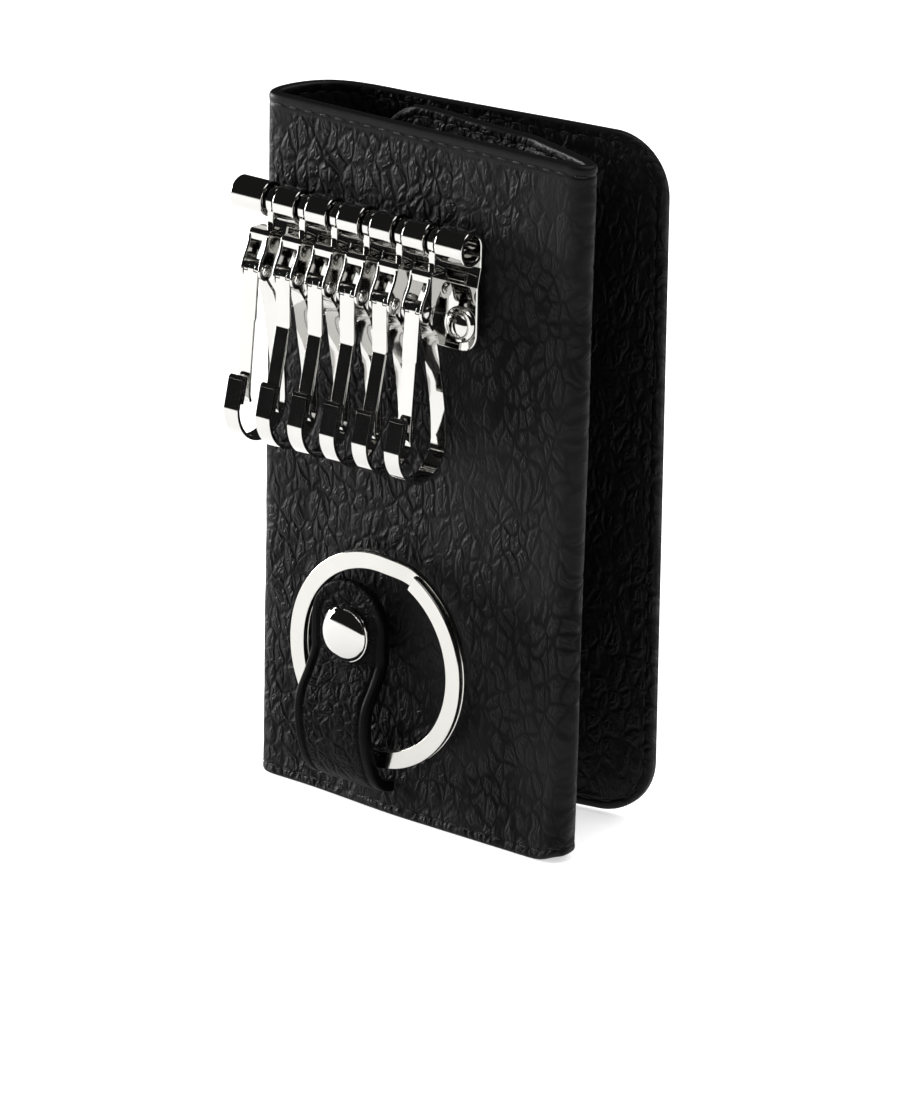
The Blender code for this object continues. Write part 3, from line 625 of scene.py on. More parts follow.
@dataclass(frozen=True)
class LeatherFinish(Finish):
    """Near-black leather with creased pebble grain, following the piece's own UV map."""

    name: str = "cover_leather_black"
    # top colours the pebbles and crease the creases between them; on the cover the crease colour is darker,
    # painted shade in the grooves
    top: Colour = (0.0034, 0.0031, 0.0036)
    crease: Colour = (0.0005, 0.0005, 0.0006)
    roughness: float = 0.43
    crease_roughness: float = 0.8
    specular: float = 0.11
    cell_scale: float = 430.0
    crease_width: float = 0.26
    crease_depth: float = 1.0
    grain_scale: float = 2600.0
    grain_depth: float = 0.30
    wander: float = 0.0045
    stretch: tuple[float, float, float] = (1.0, 0.62, 1.0)
    relief_height: float = 0.00044
    border: float = 0.0016
    border_axis: int = 1
    border_middle: float = 0.055
    border_reach: float = 0.055
    calm_at: float = 0.131
    calm_core: float = 0.004
    calm_reach: float = 0.026
    calm_least: float = 0.4

    def dress(self, tree: bpy.types.NodeTree, shader: bpy.types.Node) -> None:
        """Wires the pebbled relief, its smooth border and its calm fold to the shader.

        Args:
            tree: the material's node tree.
            shader: its Principled shader.
        """
        hide = linked(tree, "ShaderNodeTexCoord", {}).outputs["UV"]
        place = linked(tree, "ShaderNodeMapping", {"Vector": hide, "Scale": self.stretch}).outputs[0]
        values = (
            self.cell_scale, self.crease_width, self.crease_depth,
            self.grain_scale, self.grain_depth, self.wander,
        )
        inputs = {"Place": place, **dict(zip(GRAIN_INPUTS, values))}
        relief = linked(tree, "ShaderNodeGroup", inputs, node_tree=leather_relief()).outputs
        body = self.away_from_border(tree, hide)
        mask = math_node(tree, "MULTIPLY", relief["Crease"], body)
        height = math_node(tree, "MULTIPLY", relief["Height"], body)
        height = math_node(tree, "MULTIPLY", height, self.away_from_fold(tree, hide))
        bump = linked(tree, "ShaderNodeBump", {"Height": height, "Distance": self.relief_height})
        feed(tree, shader, {
            # Painted shade: on the cover the creases take a darker colour than the pebble tops; the strap's
            # creases take a lighter one
            "Base Color": mixed(tree, mask, self.top, self.crease),
            "Roughness": remapped(tree, mask, (0.0, 1.0), (self.roughness, self.crease_roughness)),
            "Normal": bump.outputs[0],
            "Specular IOR Level": self.specular,
        })

    def away_from_fold(
        self, tree: bpy.types.NodeTree, hide: bpy.types.NodeSocket
    ) -> bpy.types.NodeSocket:
        """A factor that calms the pebbles where the hide is stretched over the tight fold.

        Args:
            tree: the material's node tree.
            hide: the place on the flat hide.

        Returns:
            The factor's socket.
        """
        along = linked(tree, "ShaderNodeSeparateXYZ", {0: hide}).outputs[0]
        off_fold = math_node(tree, "ABSOLUTE", math_node(tree, "SUBTRACT", along, self.calm_at))
        return remapped(tree, off_fold, (self.calm_core, self.calm_reach), (self.calm_least, 1.0))

    def away_from_border(
        self, tree: bpy.types.NodeTree, hide: bpy.types.NodeSocket
    ) -> bpy.types.NodeSocket:
        """A mask that is 0 along the smooth turned border and 1 on the pebbled leather.

        Args:
            tree: the material's node tree.
            hide: the place on the flat hide.

        Returns:
            The mask's socket.
        """
        across = linked(tree, "ShaderNodeSeparateXYZ", {0: hide}).outputs[self.border_axis]
        off_middle = math_node(tree, "ABSOLUTE", math_node(tree, "SUBTRACT", across, self.border_middle))
        edge = math_node(tree, "SUBTRACT", self.border_reach, off_middle)
        return remapped(tree, edge, (self.border * 0.7, self.border * 1.2), (0.0, 1.0))


@dataclass(frozen=True)
class MetalFinish(Finish):
    """Plated or bare metal with faint haze."""

    colour: Colour
    low: float
    high: float
    ripple: float = 0.000004
    tint_scale: float = 190.0
    tint: float = 0.94

    def dress(self, tree: bpy.types.NodeTree, shader: bpy.types.Node) -> None:
        """Wires the haze, the ripples and the slight unevenness of the colour to the shader.

        Args:
            tree: the material's node tree.
            shader: its Principled shader.
        """
        place = linked(tree, "ShaderNodeTexCoord", {}).outputs["Object"]
        inputs = {"Place": place, "Low": self.low, "High": self.high}
        marks = linked(tree, "ShaderNodeGroup", inputs, node_tree=polish_marks()).outputs
        bump = linked(tree, "ShaderNodeBump", {"Height": marks["Height"], "Distance": self.ripple})
        uneven = clouds(tree, place, self.tint_scale).outputs[0]
        darker = tuple(self.tint * part for part in self.colour)
        feed(tree, shader, {
            "Base Color": mixed(tree, uneven, self.colour, darker),
            "Roughness": marks["Roughness"],
            "Normal": bump.outputs[0],
            "Metallic": 1.0,
        })


@dataclass(frozen=True)
class ThreadFinish(Finish):
    """Waxed black thread with a twist."""

    name: str = "thread_black"
    colour: Colour = (0.003, 0.003, 0.0034)
    # lit is a painted highlight on the raised strands of the twist
    lit: Colour = (0.008, 0.008, 0.0088)
    twist_scale: float = 1500.0
    twist_height: float = 0.00005
    roughness: float = 0.5
    specular: float = 0.2

    def dress(self, tree: bpy.types.NodeTree, shader: bpy.types.Node) -> None:
        """Wires the twist to the shader: its bump, and the lit colour painted on the raised strands as a
        painted highlight.

        Args:
            tree: the material's node tree.
            shader: its Principled shader.
        """
        place = linked(tree, "ShaderNodeTexCoord", {}).outputs["Object"]
        inputs = {"Vector": place, "Scale": self.twist_scale, "Distortion": 2.0}
        wave = linked(tree, "ShaderNodeTexWave", inputs, bands_direction="DIAGONAL").outputs["Fac"]
        bump = linked(tree, "ShaderNodeBump", {"Height": wave, "Distance": self.twist_height})
        feed(tree, shader, {
            "Base Color": mixed(tree, wave, self.colour, self.lit),
            "Normal": bump.outputs[0],
            "Roughness": self.roughness,
            "Specular IOR Level": self.specular,
        })


@dataclass(frozen=True)
class PaperFinish(Finish):
    """Pale matt paper that glows a little, for the studio floor."""

    name: str = "studio_paper"
    light: Colour = (0.93, 0.93, 0.93)
    dark: Colour = (0.90, 0.90, 0.90)
    fibre_scale: float = 900.0
    roughness: float = 0.9
    glow: float = 0.6

    def dress(self, tree: bpy.types.NodeTree, shader: bpy.types.Node) -> None:
        """Wires the paper's fibres to the shader.

        Args:
            tree: the material's node tree.
            shader: its Principled shader.
        """
        fibres = linked(tree, "ShaderNodeTexNoise", {"Scale": self.fibre_scale}).outputs[0]
        feed(tree, shader, {
            "Base Color": mixed(tree, fibres, self.light, self.dark),
            "Roughness": self.roughness,
            "Emission Color": (1.0, 1.0, 1.0, 1.0),
            "Emission Strength": self.glow,
        })


STRAP_PATTERN_X = 300.0

COVER = LeatherFinish()
# The strap's crease colour is lighter than its top, so its creases are painted lighter than its pebbles
STRAP_COVER = LeatherFinish(
    name="strap_leather_black", top=(0.0018, 0.0017, 0.0019), crease=(0.0048, 0.0045, 0.0050),
    specular=0.03, cell_scale=420.0, crease_width=0.22, stretch=(1.0, 1.0, 1.0), roughness=0.46,
    crease_roughness=0.5, border_axis=0, border_middle=STRAP_PATTERN_X * MM, border_reach=0.0073,
)
NICKEL = MetalFinish("bright_nickel_plate", (0.56, 0.555, 0.535), 0.03, 0.065)
STEEL = MetalFinish("plain_steel_satin", (0.52, 0.515, 0.50), 0.09, 0.18)
RING_STEEL = MetalFinish("ring_spring_steel", (0.55, 0.54, 0.512), 0.10, 0.18)
THREAD = ThreadFinish()
PAPER = PaperFinish()


def settle(piece: bpy.types.Object, finish: Finish) -> bpy.types.Object:
    """Moves a finished piece into the frame's metres and gives it its finish.

    Args:
        piece: the piece in millimetres.
        finish: the finish whose material it takes.

    Returns:
        The same piece.
    """
    piece.data.transform(TO_FRAME)
    piece.matrix_world = Matrix.Identity(4)
    piece.data.materials.clear()
    piece.data.materials.append(finish.material())
    LOG.info("%s: %d faces", piece.name, len(piece.data.polygons))
    return piece


def mount(piece: bpy.types.Object, body: str, *nodes: str) -> None:
    """Puts a settled piece on its body in place of its CAD nodes.

    Args:
        piece: the settled piece.
        body: the body it rides on.
        *nodes: the CAD nodes it stands for.
    """
    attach(piece, body)
    if nodes:
        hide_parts(*nodes)


# leather
@dataclass
class PlanLine:
    """The middle line of the leather, seen end on, with places at any distance along it."""

    points: np.ndarray

    def __post_init__(self) -> None:
        """Works out the distances and the way across at each point."""
        self.points = np.array(self.points, float)
        steps = np.hypot(*np.diff(self.points, axis=0).T)
        keep = np.concatenate([[True], steps > 1e-6])
        self.points = self.points[keep]
        steps = np.hypot(*np.diff(self.points, axis=0).T)
        self.marks = np.concatenate([[0.0], np.cumsum(steps)])
        ahead = np.gradient(self.points, self.marks, axis=0)
        ahead /= np.linalg.norm(ahead, axis=1)[:, None]
        self.across = np.stack([ahead[:, 1], -ahead[:, 0]], axis=1)

    @property
    def length(self) -> float:
        """The whole length."""
        return float(self.marks[-1])

    def near(self, place: Sequence[float]) -> float:
        """The distance along the line of the point nearest to a place."""
        return float(self.marks[np.argmin(np.hypot(*(self.points - np.array(place)).T))])

    def at(self, distance: np.ndarray) -> tuple[np.ndarray, np.ndarray]:
        """Places on the line and the unit ways to its right-hand side.

        Args:
            distance: distances along the line.

        Returns:
            The places, and the way across at each.
        """
        place = np.stack([np.interp(distance, self.marks, self.points[:, k]) for k in (0, 1)], axis=-1)
        across = np.stack([np.interp(distance, self.marks, self.across[:, k]) for k in (0, 1)], axis=-1)
        return place, across / np.linalg.norm(across, axis=-1)[..., None]


# Vertex places on the rounded rim, as shares of its radius, and over the border and seam, in millimetres
RIM_SHARES = (0.0, 0.08, 0.22, 0.42, 0.68, 1.0)
BORDER_STEPS = (0.85, 1.1, 1.3, 1.45, 1.6, 1.75, 1.95, 2.3)
BLANK = 0.5


def edge_steps(rim: float) -> list[float]:
    """Distances from a free edge at which a slab has vertices: close on its rim, then over its seam."""
    return [*(rim * share for share in RIM_SHARES), *BORDER_STEPS]


def stations_between(start: float, end: float, step: float, rim_start: float, rim_end: float) -> np.ndarray:
    """Vertex distances along one direction of a slab.

    Args:
        start: the first distance.
        end: the last distance.
        step: the usual spacing.
        rim_start: the rim radius at the start, or zero where the slab goes on.
        rim_end: the same at the end.

    Returns:
        The distances in order.
    """
    low = [start + d for d in edge_steps(rim_start)] if rim_start else [start]
    high = [end - d for d in reversed(edge_steps(rim_end))] if rim_end else [end]
    count = max(int(round((high[0] - low[-1]) / step)), 1)
    return np.array(low + list(np.linspace(low[-1], high[0], count + 1)[1:-1]) + high)


def slab(
    name: str,
    along: np.ndarray,
    over: np.ndarray,
    shape: Callable[[np.ndarray, np.ndarray, np.ndarray], tuple[np.ndarray, np.ndarray]],
) -> bpy.types.Object:
    """A closed slab of leather whose two faces are formed from a grid.

    Args:
        name: the piece's name.
        along: vertex distances in the first direction.
        over: vertex distances in the second.
        shape: gives the places and pattern places from distances and side (+1 or -1).

    Returns:
        The slab, with its pattern places as a UV map.
    """
    deselect()
    bpy.ops.mesh.primitive_grid_add(x_subdivisions=len(along) - 1, y_subdivisions=len(over) - 1, size=1.0)
    piece = take(name)
    finish_with(piece, "SOLIDIFY", thickness=BLANK, offset=-1.0)
    mesh = piece.data
    flat = np.empty(len(mesh.vertices) * 3)
    mesh.vertices.foreach_get("co", flat)
    flat = flat.reshape(-1, 3)
    first = along[np.round((flat[:, 0] + 0.5) * (len(along) - 1)).astype(int)]
    second = over[np.round((flat[:, 1] + 0.5) * (len(over) - 1)).astype(int)]
    side = np.where(flat[:, 2] > -BLANK / 2, 1.0, -1.0)
    places, pattern = shape(first, second, side)
    mesh.vertices.foreach_set("co", places.ravel())
    layer = mesh.uv_layers.active or mesh.uv_layers.new(name="surface")
    corners = np.empty(len(mesh.loops), int)
    mesh.loops.foreach_get("vertex_index", corners)
    layer.data.foreach_set("uv", (pattern[corners] * MM).ravel())
    mesh.update()
    face_outwards(piece)
    smooth(piece, LEATHER_SMOOTHING)
    return piece


def eased(value: np.ndarray, low: float, high: float) -> np.ndarray:
    """Rises smoothly from 0 at low to 1 at high."""
    share = np.clip((value - low) / (high - low), 0.0, 1.0)
    return share * share * (3 - 2 * share)


def bell(value: np.ndarray, width: float) -> np.ndarray:
    """Is 1 at zero and fades to nothing on both sides over a width."""
    return np.exp(-((value / width) ** 2))


def waves(first: np.ndarray, second: np.ndarray, lengths: Point, layer: np.ndarray) -> np.ndarray:
    """Soft noise over a surface.

    Args:
        first: places in the first direction.
        second: places in the second.
        lengths: how long a wave is in each direction.
        layer: keeps the noise of one face or use apart from that of another.

    Returns:
        A value for each place, about -1 to 1.
    """
    spots = zip(first / lengths[0], second / lengths[1], layer)
    return np.array([noise.noise(spot) for spot in spots])


def corner_inset(end: np.ndarray, corner: float) -> np.ndarray:
    """How much rounded corners take from each side, at a distance from the end."""
    past = np.clip(corner - end, 0.0, corner)
    return corner - np.sqrt(corner**2 - past**2)


def edge_distance(end: np.ndarray, sides: np.ndarray, corner: float) -> np.ndarray:
    """How far places are from the edge of a sheet with rounded corners.

    Args:
        end: distances from its end.
        sides: distances from its nearer side.
        corner: the radius of its corners.

    Returns:
        The distances, never less than zero.
    """
    in_corner = (end < corner) & (sides < corner)
    round_corner = corner - np.hypot(corner - end, corner - sides)
    return np.maximum(np.where(in_corner, round_corner, np.minimum(sides, end)), 0.0)


def rim_half(distance: np.ndarray, thickness: float, rim: float) -> np.ndarray:
    """Half the thickness of a sheet whose edge is rounded, at a distance from the edge."""
    inside = np.clip(rim - distance, 0.0, rim)
    return thickness / 2 - rim + np.sqrt(rim**2 - inside**2)


FLAT_STEP = 0.75
NARROW_STEP = 0.6


@dataclass(frozen=True)
class Stretch:
    """One stretch of the cover, up to a place on its plan line."""

    name: str
    until: Point
    bodies: tuple[str, ...]
    stem: str = ""
    step: float = 0.3

    @property
    def nodes(self) -> tuple[str, ...]:
        """The CAD's leather and lining that the stretch stands for."""
        return (f"{self.stem}_leather", f"{self.stem}_lining") if self.stem else ()


STRETCHES = (
    Stretch("outer_flap_skin", (11.3, 14.7), ("outer_flap",), "outer_flap", FLAT_STEP),
    Stretch("spine_skin_5", (3.2, 12.75), ("outer_flap", "spine_4"), "spine_4"),
    Stretch("spine_skin_4", (0.2, 9.7), ("spine_4", "spine_3"), "spine_3"),
    Stretch("spine_skin_3", (-1.0, 6.0), ("spine_3", "spine_2"), "spine_2"),
    Stretch("spine_skin_2", (-0.85, 2.4), ("spine_2", "spine_1"), "spine_1"),
    Stretch("spine_skin_1", (3.6, 0.95), ("spine_1", "case")),
    Stretch("panel_skin", (56.4, 0.95), ("case",), "panel", FLAT_STEP),
    Stretch("right_fold_skin", (56.6, 4.65), ("case", "gusset")),
    Stretch("strip_skin", (48.2, 7.45), ("gusset",), "gusset", NARROW_STEP),
    Stretch("inner_crease_skin", (43.6, 8.85), ("gusset", "inner_flap")),
    Stretch("inner_flap_skin", (12.4, 10.4), ("inner_flap",), "inner_flap", FLAT_STEP),
)


@dataclass
class CoverLeather:
    """The leather of the case: panel, rounded spine, long flap, right fold, narrow strip and short flap."""

    height: float = 110.0
    thickness: float = 1.9
    long_flap: Outline = (
        (60.0, 21.2), (54.0, 20.5), (48.0, 19.7), (42.0, 18.9), (31.5, 17.3), (21.2, 15.8), (15.8, 15.15),
    )
    spine: Outline = (
        (11.3, 14.7), (7.3, 14.15), (4.2, 13.25), (1.8, 11.8), (0.2, 9.7), (-0.75, 7.2), (-1.15, 4.4),
        (-0.75, 2.15), (0.55, 1.1), (3.6, 0.95),
    )
    panel: Outline = ((7.0, 0.95), (30.0, 0.95), (53.5, 0.95), (56.4, 0.95))
    fold: Outline = ((58.3, 0.98), (59.5, 1.35), (59.95, 2.2), (59.5, 3.1), (58.4, 3.85), (56.6, 4.65))
    short_flap: Outline = (
        (52.3, 6.15), (48.2, 7.45), (43.6, 8.85), (38.0, 9.1), (31.0, 9.85), (24.0, 10.6), (17.0, 10.7),
        (12.4, 10.4),
    )
    corner: float = 9.5
    rim: float = 0.62
    puff: float = 0.05
    puff_at: float = 0.85
    puff_width: float = 0.4
    seam: float = 1.6
    seam_depth: float = 0.17
    seam_width: float = 0.24
    stitch_pitch: float = 2.9
    stitch_clear: float = 0.3
    thread_half_width: float = 0.2
    thread_half_height: float = 0.16
    thread_lift: float = 0.04
    wave_lengths: Point = (17.0, 23.0)
    wave_height: float = 0.16
    pebble_lengths: Point = (2.6, 4.2)
    pebble_height: float = 0.05
    tick_lengths: Point = (7.0, 1.1)
    tick_from: float = 0.1
    tick_depth: float = 0.30
    fold_reach: float = 2.6
    fold_calm: float = 0.6
    edge_calm: float = 1.2
    row_step: float = 0.85
    plan_steps: int = 24
    flap_lean: float = 2.2
    flap_shift: float = 1.0
    flap_rise: float = 0.8
    flap_depths: Point = (13.0, 15.0)
    flap_reach: Point = (4.0, 60.0)
    fold_shift: float = 0.9
    fold_side: Point = (44.0, 60.0)
    fold_depths: Point = (7.0, 12.0)
    spine_out: float = 0.5
    spine_side: Point = (0.0, 14.0)
    edge_flare: float = 1.3
    flare_height: float = 7.0
    flare_side: Point = (6.0, 30.0)
    flare_depths: Point = (1.9, 3.6)
    corner_rise: float = 1.2
    corner_x: float = 60.5
    corner_width: float = 2.6
    corner_height: float = 5.0
    corner_depth: float = 8.0

    def __post_init__(self) -> None:
        """Lays the plan line of the whole cover, from the end of the long flap to that of the short one."""
        plan = (*self.long_flap, *self.spine, *self.panel, *self.fold, *self.short_flap)
        self.line = PlanLine(curve_through(plan, self.plan_steps))
        self.fold_at = self.line.near(self.fold[2])

    def end_distance(self, along: np.ndarray) -> np.ndarray:
        """How far each place is from the nearer free end."""
        return np.minimum(along, self.line.length - along)

    def from_edge(self, along: np.ndarray, height: np.ndarray) -> np.ndarray:
        """How far each place is from the nearest free edge, rounded corners included."""
        sides = np.minimum(height, self.height - height)
        return edge_distance(self.end_distance(along), sides, self.corner)

    def half_thickness(self, distance: np.ndarray) -> np.ndarray:
        """Half the leather's thickness: rounded rim, puffed border and sewn groove.

        Args:
            distance: how far from the edge.

        Returns:
            Half the thickness at each distance.
        """
        groove = self.seam_depth * bell(distance - self.seam, self.seam_width)
        puff = self.puff * bell(distance - self.puff_at, self.puff_width)
        return rim_half(distance, self.thickness, self.rim) - groove + puff

    def relief(self, along: np.ndarray, height: np.ndarray, side: np.ndarray) -> np.ndarray:
        """Low waves of soft leather, and short creases that run round the tight fold.

        Args:
            along: distances along the whole cover.
            height: heights above the lower edge.
            side: +1 or -1 for the face.

        Returns:
            How far the face stands out at each place.
        """
        wave = waves(along, height, self.wave_lengths, 3.0 * side)
        pebble = waves(along, height, self.pebble_lengths, 9.0 + side)
        tick = waves(along, height, self.tick_lengths, 21.0 + side) - self.tick_from
        folded = bell(along - self.fold_at, self.fold_reach)
        soft = self.wave_height * wave + self.pebble_height * pebble * (1 - self.fold_calm * folded)
        return soft - self.tick_depth * folded * np.maximum(tick, 0.0)

    def warp(self, places: np.ndarray) -> np.ndarray:
        """Bends the plain cover, which is the same at every height, into its own stance.

        The long flap leans back at its foot, its free end and the fold draw in below, the spine swells
        at the top, the panel's lower edge flares forward and the fold's lower corner lifts.

        Args:
            places: points of the cover.

        Returns:
            The same points, moved.
        """
        x, y, z = places.T
        low = 1.0 - z / self.height
        flap = low * eased(y, *self.flap_depths) * eased(x, *self.flap_reach)
        front = 1.0 - eased(y, *self.flare_depths)
        flare = self.edge_flare * bell(z, self.flare_height) * eased(x, *self.flare_side) * front
        corner = bell(z, self.corner_height) * bell(x - self.corner_x, self.corner_width)
        rise = self.corner_rise * corner * (y < self.corner_depth) + self.flap_rise * low * flap
        fold = low * eased(x, *self.fold_side) * (1.0 - eased(y, *self.fold_depths))
        spine = (1.0 - low) ** 2 * (1.0 - eased(x, *self.spine_side))
        shift = self.flap_shift * flap + self.fold_shift * fold + self.spine_out * spine
        return np.column_stack([x - shift, y + self.flap_lean * flap - flare, z + rise])

    def surface(
        self, along: np.ndarray, height: np.ndarray, side: np.ndarray, lift: float = 0.0
    ) -> np.ndarray:
        """Places on the leather's faces.

        Args:
            along: distances along the whole cover.
            height: heights above the lower edge.
            side: +1 for the panel's front and the outside of the spine, -1 for the other face.
            lift: how far above the face.

        Returns:
            The places.
        """
        distance = self.from_edge(along, height)
        wave = self.relief(along, height, side) * np.clip(distance / self.edge_calm, 0.0, 1.0)
        place, across = self.line.at(along)
        offset = side * (self.half_thickness(distance) + wave + lift)
        return self.warp(np.column_stack([place + across * offset[:, None], height]))

    def build(self) -> None:
        """Builds every stretch with its stitching, mounts those that ride on one body, and leaves the rest
        fixed in the frame.
        """
        start = 0.0
        for stretch in STRETCHES:
            end = self.line.near(stretch.until)
            piece = settle(self.skin(stretch, start, end), COVER)
            self.hang(piece, stretch, start, end)
            if stretch.nodes:
                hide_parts(*stretch.nodes)
            thread = settle(self.stitches(stretch, start, end), THREAD)
            self.hang(thread, stretch, start, end)
            start = end

    def skin(self, stretch: Stretch, start: float, end: float) -> bpy.types.Object:
        """Forms one stretch of leather, in millimetres.

        Args:
            stretch: the stretch.
            start: where it starts along the whole cover.
            end: where it ends.

        Returns:
            The leather.
        """
        rims = (0.0 if start else self.rim, self.rim if end == self.line.length else 0.0)
        along = stations_between(start, end, stretch.step, *rims)
        over = stations_between(0.0, self.height, self.row_step, self.rim, self.rim)

        def shape(first: np.ndarray, second: np.ndarray, side: np.ndarray) -> tuple[np.ndarray, np.ndarray]:
            """Forms the slab.

            Args:
                first: distances along the whole cover.
                second: heights, before the corners are rounded.
                side: +1 or -1 for the face.

            Returns:
                The places of the vertices, and the same places on the flat hide.
            """
            inset = corner_inset(self.end_distance(first), self.corner)
            height = inset + second * (self.height - 2 * inset) / self.height
            half = self.half_thickness(self.from_edge(first, height))
            return self.surface(first, height, side), np.column_stack([first, height + side * half])

        return slab(stretch.name, along, over, shape)

    def hang(self, piece: bpy.types.Object, stretch: Stretch, start: float, end: float) -> None:
        """Rides a piece on its one body; a piece between two bodies is left fixed in the frame.

        Args:
            piece: the settled leather or thread.
            stretch: the stretch it belongs to.
            start: where the stretch starts along the whole cover.
            end: where it ends.
        """
        if len(stretch.bodies) == 1:
            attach(piece, stretch.bodies[0])
            return
        ends = [TO_FRAME @ Vector((*self.line.at(distance)[0], 0.0)) for distance in (start, end)]
        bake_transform(piece)

    def stitches(self, stretch: Stretch, start: float, end: float) -> bpy.types.Object:
        """The thread of one stretch: short stitches along the sewn groove on both faces.

        Args:
            stretch: the stretch.
            start: where it starts along the whole cover.
            end: where it ends.

        Returns:
            All its stitches as one piece.
        """
        deselect()
        bpy.ops.mesh.primitive_uv_sphere_add(segments=6, ring_count=5, radius=1.0)
        model = take("stitch_model")
        base = np.array([vertex.co for vertex in model.data.vertices])[:, [2, 1, 0]]
        faces = [tuple(face.vertices) for face in model.data.polygons]
        bpy.data.objects.remove(model)
        points, polygons = [], []
        for along, height, part, up in self.seam_places(start, end):
            across = self.line.at(np.array([along]))[1][0]
            out = np.array([*across, 0.0])
            run = np.array([-across[1] * part, across[0] * part, up])
            sideways = np.cross(run, out)
            axes = np.stack([run, sideways * self.thread_half_width, out * self.thread_half_height])
            for side in (1.0, -1.0):
                spot = (np.array([along]), np.array([height]), np.array([side]))
                middle = self.surface(*spot, self.thread_lift)[0]
                polygons += [tuple(corner + len(points) for corner in face) for face in faces]
                points += list(base @ axes + middle)
        mesh = bpy.data.meshes.new(f"{stretch.name}_stitching")
        mesh.from_pydata([tuple(point) for point in points], [], polygons)
        piece = bpy.data.objects.new(mesh.name, mesh)
        bpy.context.scene.collection.objects.link(piece)
        face_outwards(piece)
        smooth(piece, THREAD_SMOOTHING)
        return piece

    def seam_places(self, start: float, end: float) -> list[tuple[float, float, float, float]]:
        """Where the stitches of a stretch lie.

        Args:
            start: where the stretch starts along the whole cover.
            end: where it ends.

        Returns:
            Distance along, height, and the parts of the stitch's way along and up.
        """
        pitch, seam, top = self.stitch_pitch, self.seam, self.height
        places = []
        for a in np.arange(math.ceil(start / pitch) * pitch, end - self.stitch_clear, pitch):
            if self.end_distance(a) > self.corner:
                places += [(a, seam, 1.0, 0.0), (a, top - seam, 1.0, 0.0)]
        radius = self.corner - seam
        count = int(radius * math.pi / 2 / pitch)
        for edge, inward in ((0.0, 1.0), (self.line.length, -1.0)):
            if edge not in (start, end):
                continue
            for step in range(count):
                turn = (step + 0.5) / count * math.pi / 2
                a = edge + inward * (self.corner - radius * math.sin(turn))
                up = self.corner - radius * math.cos(turn)
                part = -inward * math.cos(turn)
                places += [(a, up, part, math.sin(turn)), (a, top - up, part, -math.sin(turn))]
            for z in np.arange(self.corner + pitch / 2, top - self.corner, pitch):
                places.append((edge + inward * seam, z, 0.0, 1.0))
        return places


# studs and washers
BEHIND_PANEL = 2.2


def cap_profile(radius: float) -> list[Point]:
    """A press-stud cap from its shank to the crown of its dome."""
    foot = [(1.2, -1.4), (1.2, 0.05), (radius - 0.25, 0.05), (radius - 0.05, 0.14), (radius, 0.3)]
    return foot + [(radius - 0.06, 0.46)] + dome(radius - 0.2, 0.52, 1.6, 12)


def socket_profile() -> list[Point]:
    """A thick rounded ring that grips the post."""
    return [(2.1, 0.05), (3.6, 0.05), (3.8, 0.25), (3.75, 0.9), (3.5, 1.25), (2.5, 1.25), (2.15, 1.0)]


def stud_profile(shank: float) -> list[Point]:
    """A flange with a waisted post, from the end of its shank."""
    flange = [(1.2, -shank), (1.2, 0.05), (3.7, 0.05), (3.9, 0.2), (3.85, 0.5), (3.6, 0.6)]
    return [*flange, (1.6, 0.8), (1.45, 1.1), (1.6, 1.6), (1.4, 1.8), (0.1, 1.85)]


def ring_profile(hole: float) -> list[Point]:
    """A flat ring with eased edges."""
    return [(hole, 0.0), (3.3, 0.0), (3.4, 0.12), (3.35, 0.45), (3.2, 0.5), (hole, 0.5)]


